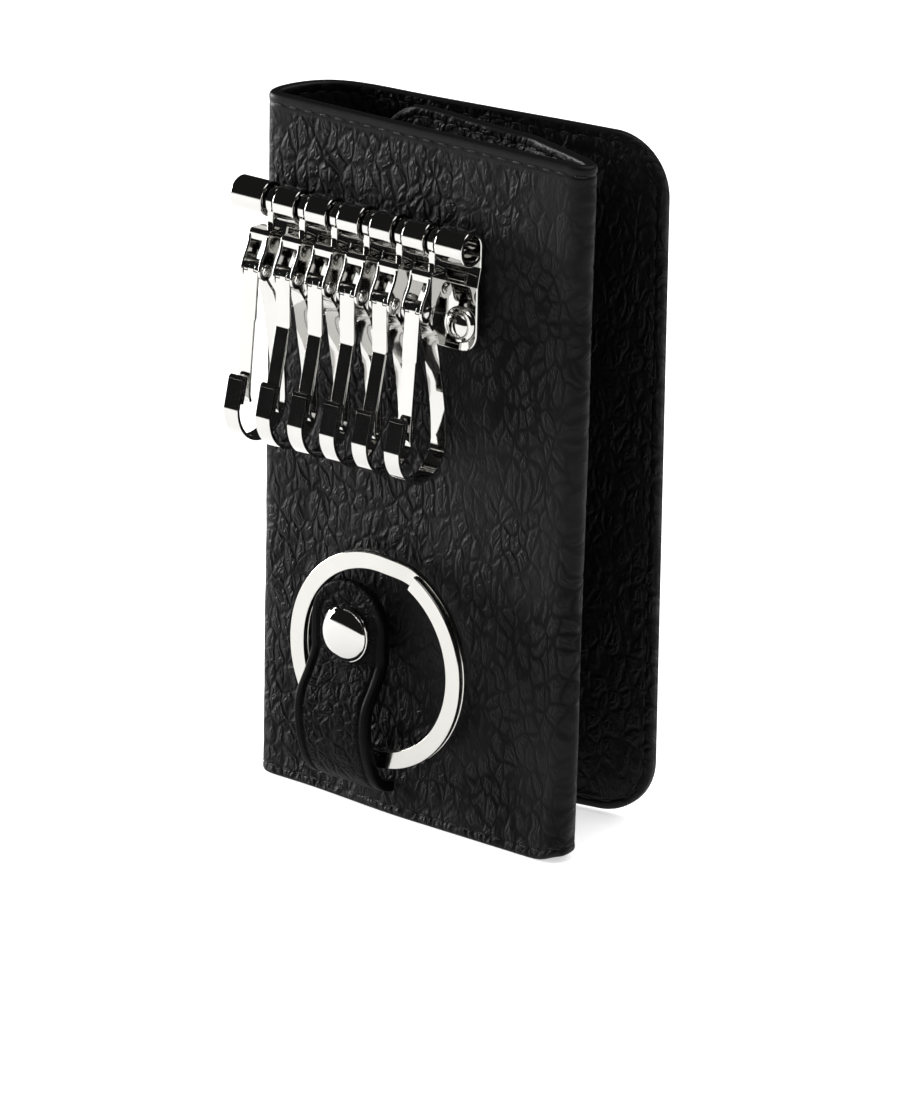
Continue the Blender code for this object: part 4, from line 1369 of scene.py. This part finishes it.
# rail
@dataclass
class HookRail:
    """The slotted rail, its rod and its two rivets with their washers."""

    barrel_y: float = -3.25
    barrel_z: float = 94.5
    barrel_radius: float = 2.75
    wall: float = 0.7
    rounding: float = 0.22
    left: float = -3.3
    plate_left: float = 1.1
    right: float = 42.45
    plate_y: float = -0.9
    bottom: float = 77.8
    corner: float = 3.0
    left_corner: float = 1.5
    roll_end: float = 322.0
    slot: float = 2.3
    slot_foot: float = 91.55
    step_top: float = 91.2
    step_foot: float = 88.2
    step: float = 0.7
    step_bend: float = 0.1
    rod_radius: float = 1.6
    rod_left: float = -2.7
    rod_right: float = 39.2
    rod_chamfer: float = 0.25
    rivet_xs: tuple[float, float] = (7.4, 39.4)
    rivet_z: float = 82.0
    rivet_radius: float = 2.85
    rivet_through: float = 2.7
    washer_hole: float = 1.6

    def build(self, slot_xs: Sequence[float]) -> None:
        """Builds and mounts the rail, rod, rivets and washers.

        Args:
            slot_xs: the middles of the hanger slots.
        """
        mount(settle(self.rail(slot_xs), NICKEL), "case", "hook_rail")
        mount(settle(self.rod(), STEEL), "case", "hook_rod")
        for side, x in zip(("left", "right"), self.rivet_xs):
            rivet = settle(self.rivet(f"stepped_rivet_{side}", x), NICKEL)
            mount(rivet, "case", f"rail_rivet_{side}")
            ring = settle(self.washer(f"rivet_back_ring_{side}", x), STEEL)
            mount(ring, "case", f"rivet_washer_{side}")

    def rail(self, slot_xs: Sequence[float]) -> bpy.types.Object:
        """The plate rolled into a barrel, with a slot for each hanger.

        Args:
            slot_xs: the middles of the slots.

        Returns:
            The rail.
        """
        middle_x, half = (self.left + self.right) / 2, (self.right - self.left) / 2
        centre = (self.barrel_y, self.barrel_z)
        roll = arc(centre, self.barrel_radius - self.wall / 2, 0.0, self.roll_end, 46)
        face = self.plate_y - self.step
        plate = [(face, z) for z in (self.bottom, self.step_foot - self.step_bend, self.step_foot)]
        plate += [(self.plate_y, z) for z in (self.step_top, self.step_top + self.step_bend, self.slot_foot)]
        piece = strip("slotted_rail", [Station((middle_x, y, z), half) for y, z in [*plate, *roll]])
        cuts = [x + side * self.slot / 2 for x in slot_xs for side in (-1, 1)]
        with editing(piece):
            for cut in (*cuts, self.plate_left):
                bpy.ops.mesh.select_all(action="SELECT")
                bpy.ops.mesh.bisect(plane_co=(cut, 0, 0), plane_no=TO_RIGHT)
        self.open_slots(piece, slot_xs)
        for end, corner in ((self.plate_left, self.left_corner), (self.right, self.corner)):
            pick(piece, lambda co: co.z < self.bottom + NEAR and abs(co.x - end) < NEAR)
            with editing(piece):
                bpy.ops.mesh.bevel(affect="VERTICES", offset=corner, segments=8)
        return thicken(piece, self.wall, self.rounding, 3)

    def open_slots(self, piece: bpy.types.Object, slot_xs: Sequence[float]) -> None:
        """Deletes the faces of the slots, over the top of the barrel, and of the plate left of its end.

        Args:
            piece: the rail before it has a wall.
            slot_xs: the middles of the slots.
        """
        with editing(piece):
            bpy.ops.mesh.select_mode(type="FACE")
            bpy.ops.mesh.select_all(action="DESELECT")
        for face in piece.data.polygons:
            inside = any(abs(face.center.x - x) < self.slot / 2 for x in slot_xs)
            beyond = face.center.x < self.plate_left and face.center.z < self.slot_foot
            face.select = beyond or (inside and face.center.z > self.slot_foot)
        with editing(piece):
            bpy.ops.mesh.delete(type="FACE")
            bpy.ops.mesh.select_mode(type="VERT")

    def rod(self) -> bpy.types.Object:
        """The rod that the hangers turn on, with chamfered ends.

        Returns:
            The rod.
        """
        length, radius, ease = self.rod_right - self.rod_left, self.rod_radius, self.rod_chamfer
        profile = [(radius - ease, 0.0), (radius, ease), (radius, length - ease), (radius - ease, length)]
        start = (self.rod_left, self.barrel_y, self.barrel_z)
        return turned("rod_through_barrel", profile, start, TO_RIGHT, sides=32)

    def rivet(self, name: str, x: float) -> bpy.types.Object:
        """A stepped dome rivet head on the rail's face, with its shank and peened end.

        Args:
            name: the piece's name.
            x: where it stands along the rail.

        Returns:
            The rivet.
        """
        front = self.plate_y - self.step - self.wall / 2
        radius, reach = self.rivet_radius, self.rivet_through - front
        profile = [
            (1.9, -reach - 0.45), (2.1, -reach - 0.3), (2.1, -reach), (1.4, -reach), (1.4, 0.05),
            (radius - 0.1, 0.05), (radius, 0.18), (radius - 0.1, 0.5), (radius - 0.3, 0.72),
            (radius - 0.62, 0.78), (radius - 0.72, 0.7),
        ]
        profile += dome(radius - 0.78, 0.72, 1.15)
        return turned(name, profile, (x, front, self.rivet_z), TO_FRONT, sides=56)

    def washer(self, name: str, x: float) -> bpy.types.Object:
        """The ring behind the leather that the rivet is peened over."""
        place = (x, BEHIND_PANEL, self.rivet_z)
        return turned(name, ring_profile(self.washer_hole), place, TO_BACK, sides=40, hollow=True)


# hooks
@dataclass
class HookSet:
    """Hanger, pin, hook and gate, modelled at the first place and copied along the rod.

    Outlines are (forward or back, up or down) from the rod's middle for the hanger, and from the pin's
    middle for the hook.
    """

    rail: HookRail
    count: int = 6
    first_x: float = 4.0
    pitch: float = 6.4
    loop_radius: float = 1.93
    loop_ends: Point = (-62.0, 222.0)
    loop_wall: float = 0.55
    loop_rounding: float = 0.12
    neck: Outline = ((-1.47, -2.1), (-1.47, -3.0), (-1.47, -4.0))
    neck_half: float = 0.56
    bridge_back: Outline = ((-1.15, -3.95), (-2.6, -3.95))
    bridge_bend: Point = (-3.55, -4.45)
    bridge_bend_radius: float = 0.5
    bridge_foot: Point = (-4.05, -5.35)
    cheek_front: Outline = ((-4.2, -4.1), (-4.75, -6.2), (-5.8, -8.2))
    cheek_back: Outline = ((-2.75, -8.4), (-1.75, -6.6), (-1.2, -4.1))
    tongue_radius: float = 1.5
    tongue_past_pin: Point = (-0.1, -0.15)
    fork_half: float = 1.98
    fork_wall: float = 0.5
    plate_rounding: float = 0.1
    pin_forward: float = 4.65
    pin_drop: float = 9.7
    pin_radius: float = 0.75
    pin_clear: float = 0.06
    knuckle_radius: float = 1.2
    hook_wall: float = 0.52
    hook_half: float = 1.4
    hook_rounding: float = 0.17
    hook_neck_half: float = 0.56
    widening: Point = (1.3, 4.6)
    back_branch: Outline = ((1.75, -2.2), (3.1, -5.6), (4.1, -10.5), (5.2, -16.5), (5.55, -21.3))
    bottom: Point = (0.05, -21.3)
    bottom_radius: float = 5.5
    nose: Outline = ((-5.47, -21.3), (-5.43, -21.1), (-4.48, -17.0), (-4.42, -16.8))
    nose_fold: Point = (-4.05, -16.7)
    nose_fold_radius: float = 0.34
    nose_tail: Outline = ((-3.86, -17.3), (-4.36, -19.5), (-4.58, -20.4))
    gate_wall: float = 0.5
    gate_half: float = 1.4
    gate_foot_half: float = 1.26
    gate_gap: float = 0.66
    roll_rounding: float = 0.08
    kink_drop: float = 7.6
    kinked: Point = (1.05, 3.28)
    straight: Point = (1.7, 2.6)
    straight_gates: tuple[int, ...] = (1, 6)

    @property
    def xs(self) -> list[float]:
        """The middles of the six hook sets."""
        return [self.first_x + self.pitch * number for number in range(self.count)]

    @property
    def pin(self) -> Point:
        """The pin's place seen from the side."""
        return (self.rail.barrel_y - self.pin_forward, self.rail.barrel_z - self.pin_drop)

    def build(self) -> None:
        """Models one set, copies it along the rod, and mounts all six."""
        hanger, pin, hook = self.hanger(), self.cross_pin(), self.hook()
        kinked = self.gate("kinked_gate", *self.kinked)
        straight = self.gate("straight_gate", *self.straight)
        for number in range(1, self.count + 1):
            shift = Vector((self.pitch * (number - 1), 0.0, 0.0))
            gate = straight if number in self.straight_gates else kinked
            for model, name, node, body, finish, slot in (
                (hanger, "fork_hanger", "hanger", "swing", NICKEL, Slot.STEEL),
                (pin, "cross_pin", "hook_pin", "swing", STEEL, Slot.STEEL),
                (hook, "bent_hook", "hook", "key_hook", NICKEL, Slot.NICKEL),
                (gate, "spring_gate", "hook_gate", "gate", NICKEL, Slot.STEEL),
            ):
                piece = settle(copied(model, f"{name}_{number}", shift), finish)
                mount(piece, f"{body}_{number}", f"{node}_{number}")
        for model in (hanger, pin, hook, kinked, straight):
            bpy.data.objects.remove(model)

    def band(self, name: str, side: Sequence[Point], half: float) -> bpy.types.Object:
        """A strip without a wall, along an outline seen from the side.

        Args:
            name: the piece's name.
            side: the outline from the rod's middle.
            half: half the strip's width.

        Returns:
            The strip.
        """
        y, z = self.rail.barrel_y, self.rail.barrel_z
        return strip(name, [Station((self.first_x, y + a, z + b), half) for a, b in side])

    def hanger(self) -> bpy.types.Object:
        """A loop round the rod, a neck, a bridge bent down in front, and two tongue-shaped cheeks.

        Returns:
            The hanger.
        """
        loop = arc((0.0, 0.0), self.loop_radius, *self.loop_ends, 36)
        ring = self.band("loop", [*loop, *self.neck], self.neck_half)
        bend = arc(self.bridge_bend, self.bridge_bend_radius, 90.0, 180.0, 7)
        bridge = self.band("bridge", [*self.bridge_back, *bend, self.bridge_foot], self.fork_half)
        walled = [
            thicken(ring, self.loop_wall, self.loop_rounding),
            thicken(bridge, self.fork_wall, self.plate_rounding),
        ]
        return joined("hanger_model", [*walled, *(self.cheek(side) for side in (-1, 1))])

    def cheek(self, side: int) -> bpy.types.Object:
        """One cheek: a plate that leans forward and ends in a round tongue beside the pin.

        Args:
            side: -1 for the left cheek, 1 for the right.

        Returns:
            The cheek.
        """
        forward, down = self.tongue_past_pin
        centre = (forward - self.pin_forward, down - self.pin_drop)
        tongue = arc(centre, self.tongue_radius, 178.0, 350.0, 14)
        front = curve_through([*self.cheek_front, tongue[0]], 5)
        back = curve_through([tongue[-1], *self.cheek_back], 5)
        x = self.first_x + side * (self.fork_half - self.fork_wall / 2 + NEAR)
        return self.plate("cheek", x, [*front[:-1], *tongue, *back[1:]])

    def plate(self, name: str, x: float, outline: Sequence[Point]) -> bpy.types.Object:
        """A flat plate with the given outline in a plane across the rod.

        Args:
            name: the piece's name.
            x: where the plate's middle lies along the rod.
            outline: its points in order, from the rod's middle.

        Returns:
            The plate.
        """
        deselect()
        bpy.ops.mesh.primitive_circle_add(vertices=len(outline), radius=1.0, fill_type="NGON")
        piece = take(name)
        for vertex, (a, b) in zip(piece.data.vertices, outline):
            vertex.co = Vector((x, self.rail.barrel_y + a, self.rail.barrel_z + b))
        return thicken(piece, self.fork_wall, self.plate_rounding)

    def cross_pin(self) -> bpy.types.Object:
        """The pin through both cheeks, with low domed heads.

        Returns:
            The pin.
        """
        cheek, radius = self.fork_half + self.pin_clear, self.pin_radius
        head = [(0.06, -cheek - 0.42), (0.6, -cheek - 0.37), (0.95, -cheek - 0.15), (1.0, -cheek)]
        profile = head + [(radius, -cheek), (radius, cheek)] + [(a, -b) for a, b in reversed(head)]
        return turned("pin_model", profile, (self.first_x, *self.pin), TO_RIGHT, sides=28)

    def hook(self) -> bpy.types.Object:
        """One bent strip: knuckle, widening back branch, round bottom, and a nose folded at its tip.

        Returns:
            The hook.
        """
        y, z = self.pin
        wrap = arc((0.0, 0.0), self.knuckle_radius, 200.0, -14.0, 22)
        back = curve_through([wrap[-1], *self.back_branch], 7)
        bottom = arc(self.bottom, self.bottom_radius, 0.0, -178.0, 38)
        fold = arc(self.nose_fold, self.nose_fold_radius, 194.0, 14.0, 10)
        stations = []
        for a, b in [*wrap[:-1], *back[:-1], *bottom, *self.nose, *fold, *self.nose_tail]:
            widened = float(eased(np.array(-b), *self.widening))
            half = self.hook_neck_half + (self.hook_half - self.hook_neck_half) * widened
            stations.append(Station((self.first_x, y + a, z + b), half))
        return thicken(strip("hook_model", stations), self.hook_wall, self.hook_rounding, 3)

    def gate(self, name: str, kink: float, foot: float) -> bpy.types.Object:
        """A spring gate: two knuckles rolled over the pin, a wide plate, and a narrower lower end.

        Args:
            name: the piece's name.
            kink: how far forward of the pin the plate is where it narrows.
            foot: how far forward its lower end is.

        Returns:
            The gate.
        """
        y, z = self.pin
        half, low, drop = self.gate_half, self.gate_foot_half, self.kink_drop
        top, wide = self.knuckle_radius, drop - 0.12
        rows = [
            (top, 0.1, half), (top, 0.35, half), (kink - 0.005, wide - 0.2, half), (kink, wide, half),
            (kink + 0.03, drop + 0.1, low), (kink + 0.07, drop + 0.3, low), (foot - 0.05, 17.0, low),
            (foot, 17.3, low), (foot + 0.1, 19.4, low), (foot - 0.4, 20.6, low - 0.15),
        ]
        stations = [Station((self.first_x, y - forward, z - down), width) for forward, down, width in rows]
        plate = thicken(strip("gate_plate", stations), self.gate_wall, self.plate_rounding)
        return joined(name, [plate, *(self.roll(side) for side in (-1, 1))])

    def roll(self, side: int) -> bpy.types.Object:
        """One knuckle of the gate, rolled from the plate's top over the pin.

        Args:
            side: -1 for the left knuckle, 1 for the right.

        Returns:
            The knuckle.
        """
        middle, half = side * (self.gate_half + self.gate_gap) / 2, (self.gate_half - self.gate_gap) / 2
        around = arc(self.pin, self.knuckle_radius, 20.0, 182.0, 18)
        stations = [Station((self.first_x + middle, a, b), half) for a, b in around]
        return thicken(strip("gate_roll", stations), self.gate_wall, self.roll_rounding)


# strap
@dataclass
class RingStrap:
    """The leather strap that leaves the panel low down, bulges round the ring and is held by a stud.

    The line of the strap is (how far in front of the panel, height).
    """

    centre_x: float = 20.2
    half: float = 7.3
    thickness: float = 1.6
    top: float = 37.4
    tip: float = 7.1
    line: Outline = (
        (1.3, 4.9), (3.6, 5.6), (5.4, 7.7), (6.9, 11.5), (7.5, 15.7), (6.9, 19.0), (5.3, 21.7),
    )
    flat_at: float = 3.7
    flat_zs: tuple[float, ...] = (25.0, 28.0, 33.0)
    snap_z: float = 29.0
    snap_shank: float = 2.7
    washer_hole: float = 1.35
    cap_radius: float = 4.5
    rim: float = 0.42
    crease: float = 1.7
    crease_depth: float = 0.24
    crease_width: float = 0.26
    wave_lengths: Point = (6.0, 5.0)
    wave_height: float = 0.12
    pebble_lengths: Point = (1.9, 1.7)
    pebble_height: float = 0.035
    edge_calm: float = 1.5
    steps: Point = (0.42, 0.45)

    def build(self) -> None:
        """Builds the strap, left fixed in the frame, and builds and mounts the cap and socket on it, and the
        stud and ring on the panel.
        """
        strap = settle(self.strap(), STRAP_COVER)
        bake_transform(strap)
        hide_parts("ring_strap")
        front = (self.centre_x, -self.flat_at - self.thickness / 2, self.snap_z)
        cap = turned("snap_dome", cap_profile(self.cap_radius), front, TO_FRONT, sides=64)
        mount(settle(cap, NICKEL), "strap", "snap_cap")
        back = (self.centre_x, -self.flat_at + self.thickness / 2, self.snap_z)
        socket = turned("snap_ring_socket", socket_profile(), back, TO_BACK, hollow=True)
        mount(settle(socket, STEEL), "strap", "snap_socket")
        foot = (self.centre_x, 0.0, self.snap_z)
        stud = turned("snap_post", stud_profile(self.snap_shank), foot, TO_FRONT)
        mount(settle(stud, STEEL), "case", "snap_stud")
        behind = (self.centre_x, BEHIND_PANEL, self.snap_z)
        profile = ring_profile(self.washer_hole)
        ring = turned("snap_back_ring", profile, behind, TO_BACK, sides=40, hollow=True)
        mount(settle(ring, STEEL), "case", "snap_washer")

    def strap(self) -> bpy.types.Object:
        """The strap as one formed slab with rounded edges and a crease along its border.

        Returns:
            The strap.
        """
        flat = [(self.flat_at, z) for z in (*self.flat_zs, self.top)]
        side = curve_through([*self.line, *flat], 16)
        line = PlanLine([(-distance, z) for distance, z in side])
        along = stations_between(0.0, line.length, self.steps[0], 0.0, self.rim)
        over = stations_between(-self.half, self.half, self.steps[1], self.rim, self.rim)

        def shape(first: np.ndarray, second: np.ndarray, face: np.ndarray) -> tuple[np.ndarray, np.ndarray]:
            """Forms the slab.

            Args:
                first: distances along the strap.
                second: distances across it, before its tip is rounded.
                face: +1 or -1 for the face.

            Returns:
                The places of the vertices, and the same places on the flat strap.
            """
            end = line.length - first
            x = second * (self.half - corner_inset(end, self.tip)) / self.half
            distance = edge_distance(end, self.half - np.abs(x), self.tip)
            groove = self.crease_depth * bell(distance - self.crease, self.crease_width) * (face > 0)
            half = rim_half(distance, self.thickness, self.rim) - groove
            wave = self.relief(first, second) * np.clip(distance / self.edge_calm, 0.0, 1.0)
            place, across = line.at(first)
            plan = place - across * (face * half + wave)[:, None]
            pattern = np.column_stack([x + STRAP_PATTERN_X, first + face * half])
            return np.column_stack([x + self.centre_x, plan]), pattern

        return slab("strap_loop_leather", along, over, shape)

    def relief(self, first: np.ndarray, second: np.ndarray) -> np.ndarray:
        """Low waves and small pebbles over both faces alike.

        Args:
            first: distances along the strap.
            second: distances across it.

        Returns:
            How far each place is pushed.
        """
        layer = np.full(len(first), 4.0)
        low = waves(first, second, self.wave_lengths, layer) * self.wave_height
        return low + waves(first, second, self.pebble_lengths, layer + 10.0) * self.pebble_height


# closure
@dataclass
class FlapClosure:
    """The press stud between the flaps: cap and socket on the long flap, stud on the short one."""

    from_end: float = 22.5
    radius: float = 4.5
    kept: tuple[str, ...] = ("closure_stud", "closure_washer")

    def build(self, cover: CoverLeather) -> None:
        """Sets the cap and socket on the long flap's skin and dresses the CAD stud and washer.

        Args:
            cover: the leather that carries them.
        """
        along, height = np.array([self.from_end]), np.array([cover.height / 2])
        out = cover.line.at(along)[1][0]
        faces = [Vector(cover.surface(along, height, np.array([side]))[0]) for side in (1.0, -1.0)]
        way = Vector((out[0], out[1], 0.0))
        cap = turned("closure_dome", cap_profile(self.radius), faces[0], way, sides=64)
        mount(settle(cap, NICKEL), "outer_flap", "closure_cap")
        socket = turned("closure_ring_socket", socket_profile(), faces[1], -way, hollow=True)
        mount(settle(socket, STEEL), "outer_flap", "closure_socket")
        for node in self.kept:
            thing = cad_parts[node]
            thing.data.materials.clear()
            thing.data.materials.append(STEEL.material())
            LOG.info("%s: dressed", node)


# ring
@dataclass
class SplitRing:
    """Two flat coils of one wire that crosses from the first to the second at the split."""

    centre_x: float = 25.6
    centre_z: float = 25.9
    distance: float = 3.4
    radius: float = 17.2
    skew: float = 1.1
    band: float = 2.75
    wire: float = 0.98
    rounding: float = 0.2
    gap: float = 0.16
    split_at: float = 75.0
    step_angle: float = 20.0
    end_gap: float = 1.5
    stations: int = 260

    def build(self) -> None:
        """Builds and mounts the ring."""
        mount(settle(self.coils(), RING_STEEL), "ring", "split_ring")

    def coils(self) -> bpy.types.Object:
        """The wire, wound as a flat band.

        Returns:
            The ring.
        """
        start = self.step_angle / 2 + self.end_gap
        middle = self.radius - self.band / 2
        lean = math.tan(math.radians(self.skew))
        stations = []
        for turn in np.linspace(start, 720.0 - start, self.stations):
            share = float(eased(turn - 360.0, -self.step_angle / 2, self.step_angle / 2))
            level = (share - 0.5) * (self.wire + self.gap)
            angle = math.radians(turn + self.split_at)
            out = (math.cos(angle), -lean * math.cos(angle), math.sin(angle))
            place = Vector((self.centre_x, -self.distance - level, self.centre_z)) + Vector(out) * middle
            stations.append(Station(place, self.band / 2, out))
        return thicken(strip("flat_wire_ring", stations), self.wire, self.rounding, 3)


# studio
@dataclass(frozen=True)
class Lamp:
    """A square soft light, placed in the frame's metres and aimed at the case."""

    name: str
    place: tuple[float, float, float]
    size: float
    power: float
    mirrored: bool

    def hang(self, aim: Vector) -> None:
        """Adds the light to the scene.

        Args:
            aim: the place it faces.
        """
        data = bpy.data.lights.new(self.name, "AREA")
        data.shape, data.size, data.energy = "SQUARE", self.size, self.power
        lamp = bpy.data.objects.new(self.name, data)
        lamp.location = self.place
        lamp.rotation_euler = (aim - Vector(self.place)).to_track_quat("-Z", "Y").to_euler()
        lamp.visible_glossy = self.mirrored
        bpy.context.scene.collection.objects.link(lamp)


@dataclass
class Studio:
    """Pale floor, soft light and the camera at the photograph's angle."""

    azimuth: float = 39.383
    elevation: float = 18.614
    roll: float = 1.188
    distance: float = 1199.0
    aim: tuple[float, float, float] = (34.167, 3.0, 43.87)
    focal_pixels: float = 7871.0
    image_height: float = 1100.0
    sensor: float = 36.0
    floor_size: float = 6.0
    lit_height: float = 0.05
    horizon: tuple[float, float] = (-0.01, 0.02)
    room: tuple[float, float] = (1.0, 0.015)
    lamps: tuple[Lamp, ...] = (
        Lamp("overhead", (0.55, 0.75, 1.9), 2.6, 46.0, True),
        Lamp("left_box", (-1.3, -0.25, 0.26), 0.5, 24.0, True),
        Lamp("front_box", (0.1, -1.6, 1.5), 1.6, 26.0, False),
    )

    def build(self) -> None:
        """Sets the camera, the floor, the lights and the surroundings."""
        self.camera()
        self.floor()
        for lamp in self.lamps:
            lamp.hang(Vector((0.0, 0.0, self.lit_height)))
        self.surroundings()

    def camera(self) -> None:
        """The camera, with the lens and roll that line the case's corners up with the photograph."""
        azimuth, elevation, roll = (math.radians(a) for a in (self.azimuth, self.elevation, self.roll))
        right = Vector((math.cos(azimuth), math.sin(azimuth), 0.0))
        flat = Vector((math.sin(azimuth), -math.cos(azimuth), 0.0))
        back = flat * math.cos(elevation) + Vector((0.0, 0.0, math.sin(elevation)))
        up = back.cross(right)
        level = right * math.cos(roll) + up * math.sin(roll)
        above = up * math.cos(roll) - right * math.sin(roll)
        data = bpy.data.cameras.new("camera")
        data.sensor_fit = "VERTICAL"
        data.sensor_height = self.sensor
        data.lens = self.focal_pixels / self.image_height * self.sensor
        data.clip_start, data.clip_end = 0.01, 50.0
        camera = bpy.data.objects.new("camera", data)
        place = TO_FRAME @ Vector(self.aim) + back * self.distance * MM
        axes = Matrix((level, above, back)).transposed().to_4x4()
        camera.matrix_world = Matrix.Translation(place) @ axes
        bpy.context.scene.collection.objects.link(camera)
        bpy.context.scene.camera = camera

    def floor(self) -> None:
        """A pale paper floor under the case."""
        deselect()
        bpy.ops.mesh.primitive_plane_add(size=self.floor_size, location=(0.0, 0.0, 0.0))
        floor = take("studio_floor")
        floor.data.materials.append(PAPER.material())

    def surroundings(self) -> None:
        """A world that is bright low down and dark above, as the plated pieces mirror it."""
        world = bpy.data.worlds.new("studio_room")
        bpy.context.scene.world = world
        world.use_nodes = True
        tree = world.node_tree
        place = linked(tree, "ShaderNodeTexCoord", {}).outputs["Generated"]
        height = linked(tree, "ShaderNodeSeparateXYZ", {0: place}).outputs[2]
        glow = remapped(tree, height, self.horizon, self.room)
        shade = mixed(tree, glow, (0.0, 0.0, 0.0), (1.0, 1.0, 1.0))
        feed(tree, tree.nodes["Background"], {"Color": shade, "Strength": 1.0})
        bpy.context.scene.view_settings.view_transform = "Standard"


def main() -> None:
    """Builds the case piece by piece, then the studio."""
    logging.basicConfig(level=logging.INFO, format="%(message)s")
    cover = CoverLeather()
    cover.build()
    rail = HookRail()
    hooks = HookSet(rail)
    rail.build(hooks.xs)
    hooks.build()
    RingStrap().build()
    FlapClosure().build(cover)
    SplitRing().build()
    Studio().build()


if __name__ == "__main__":
    main()
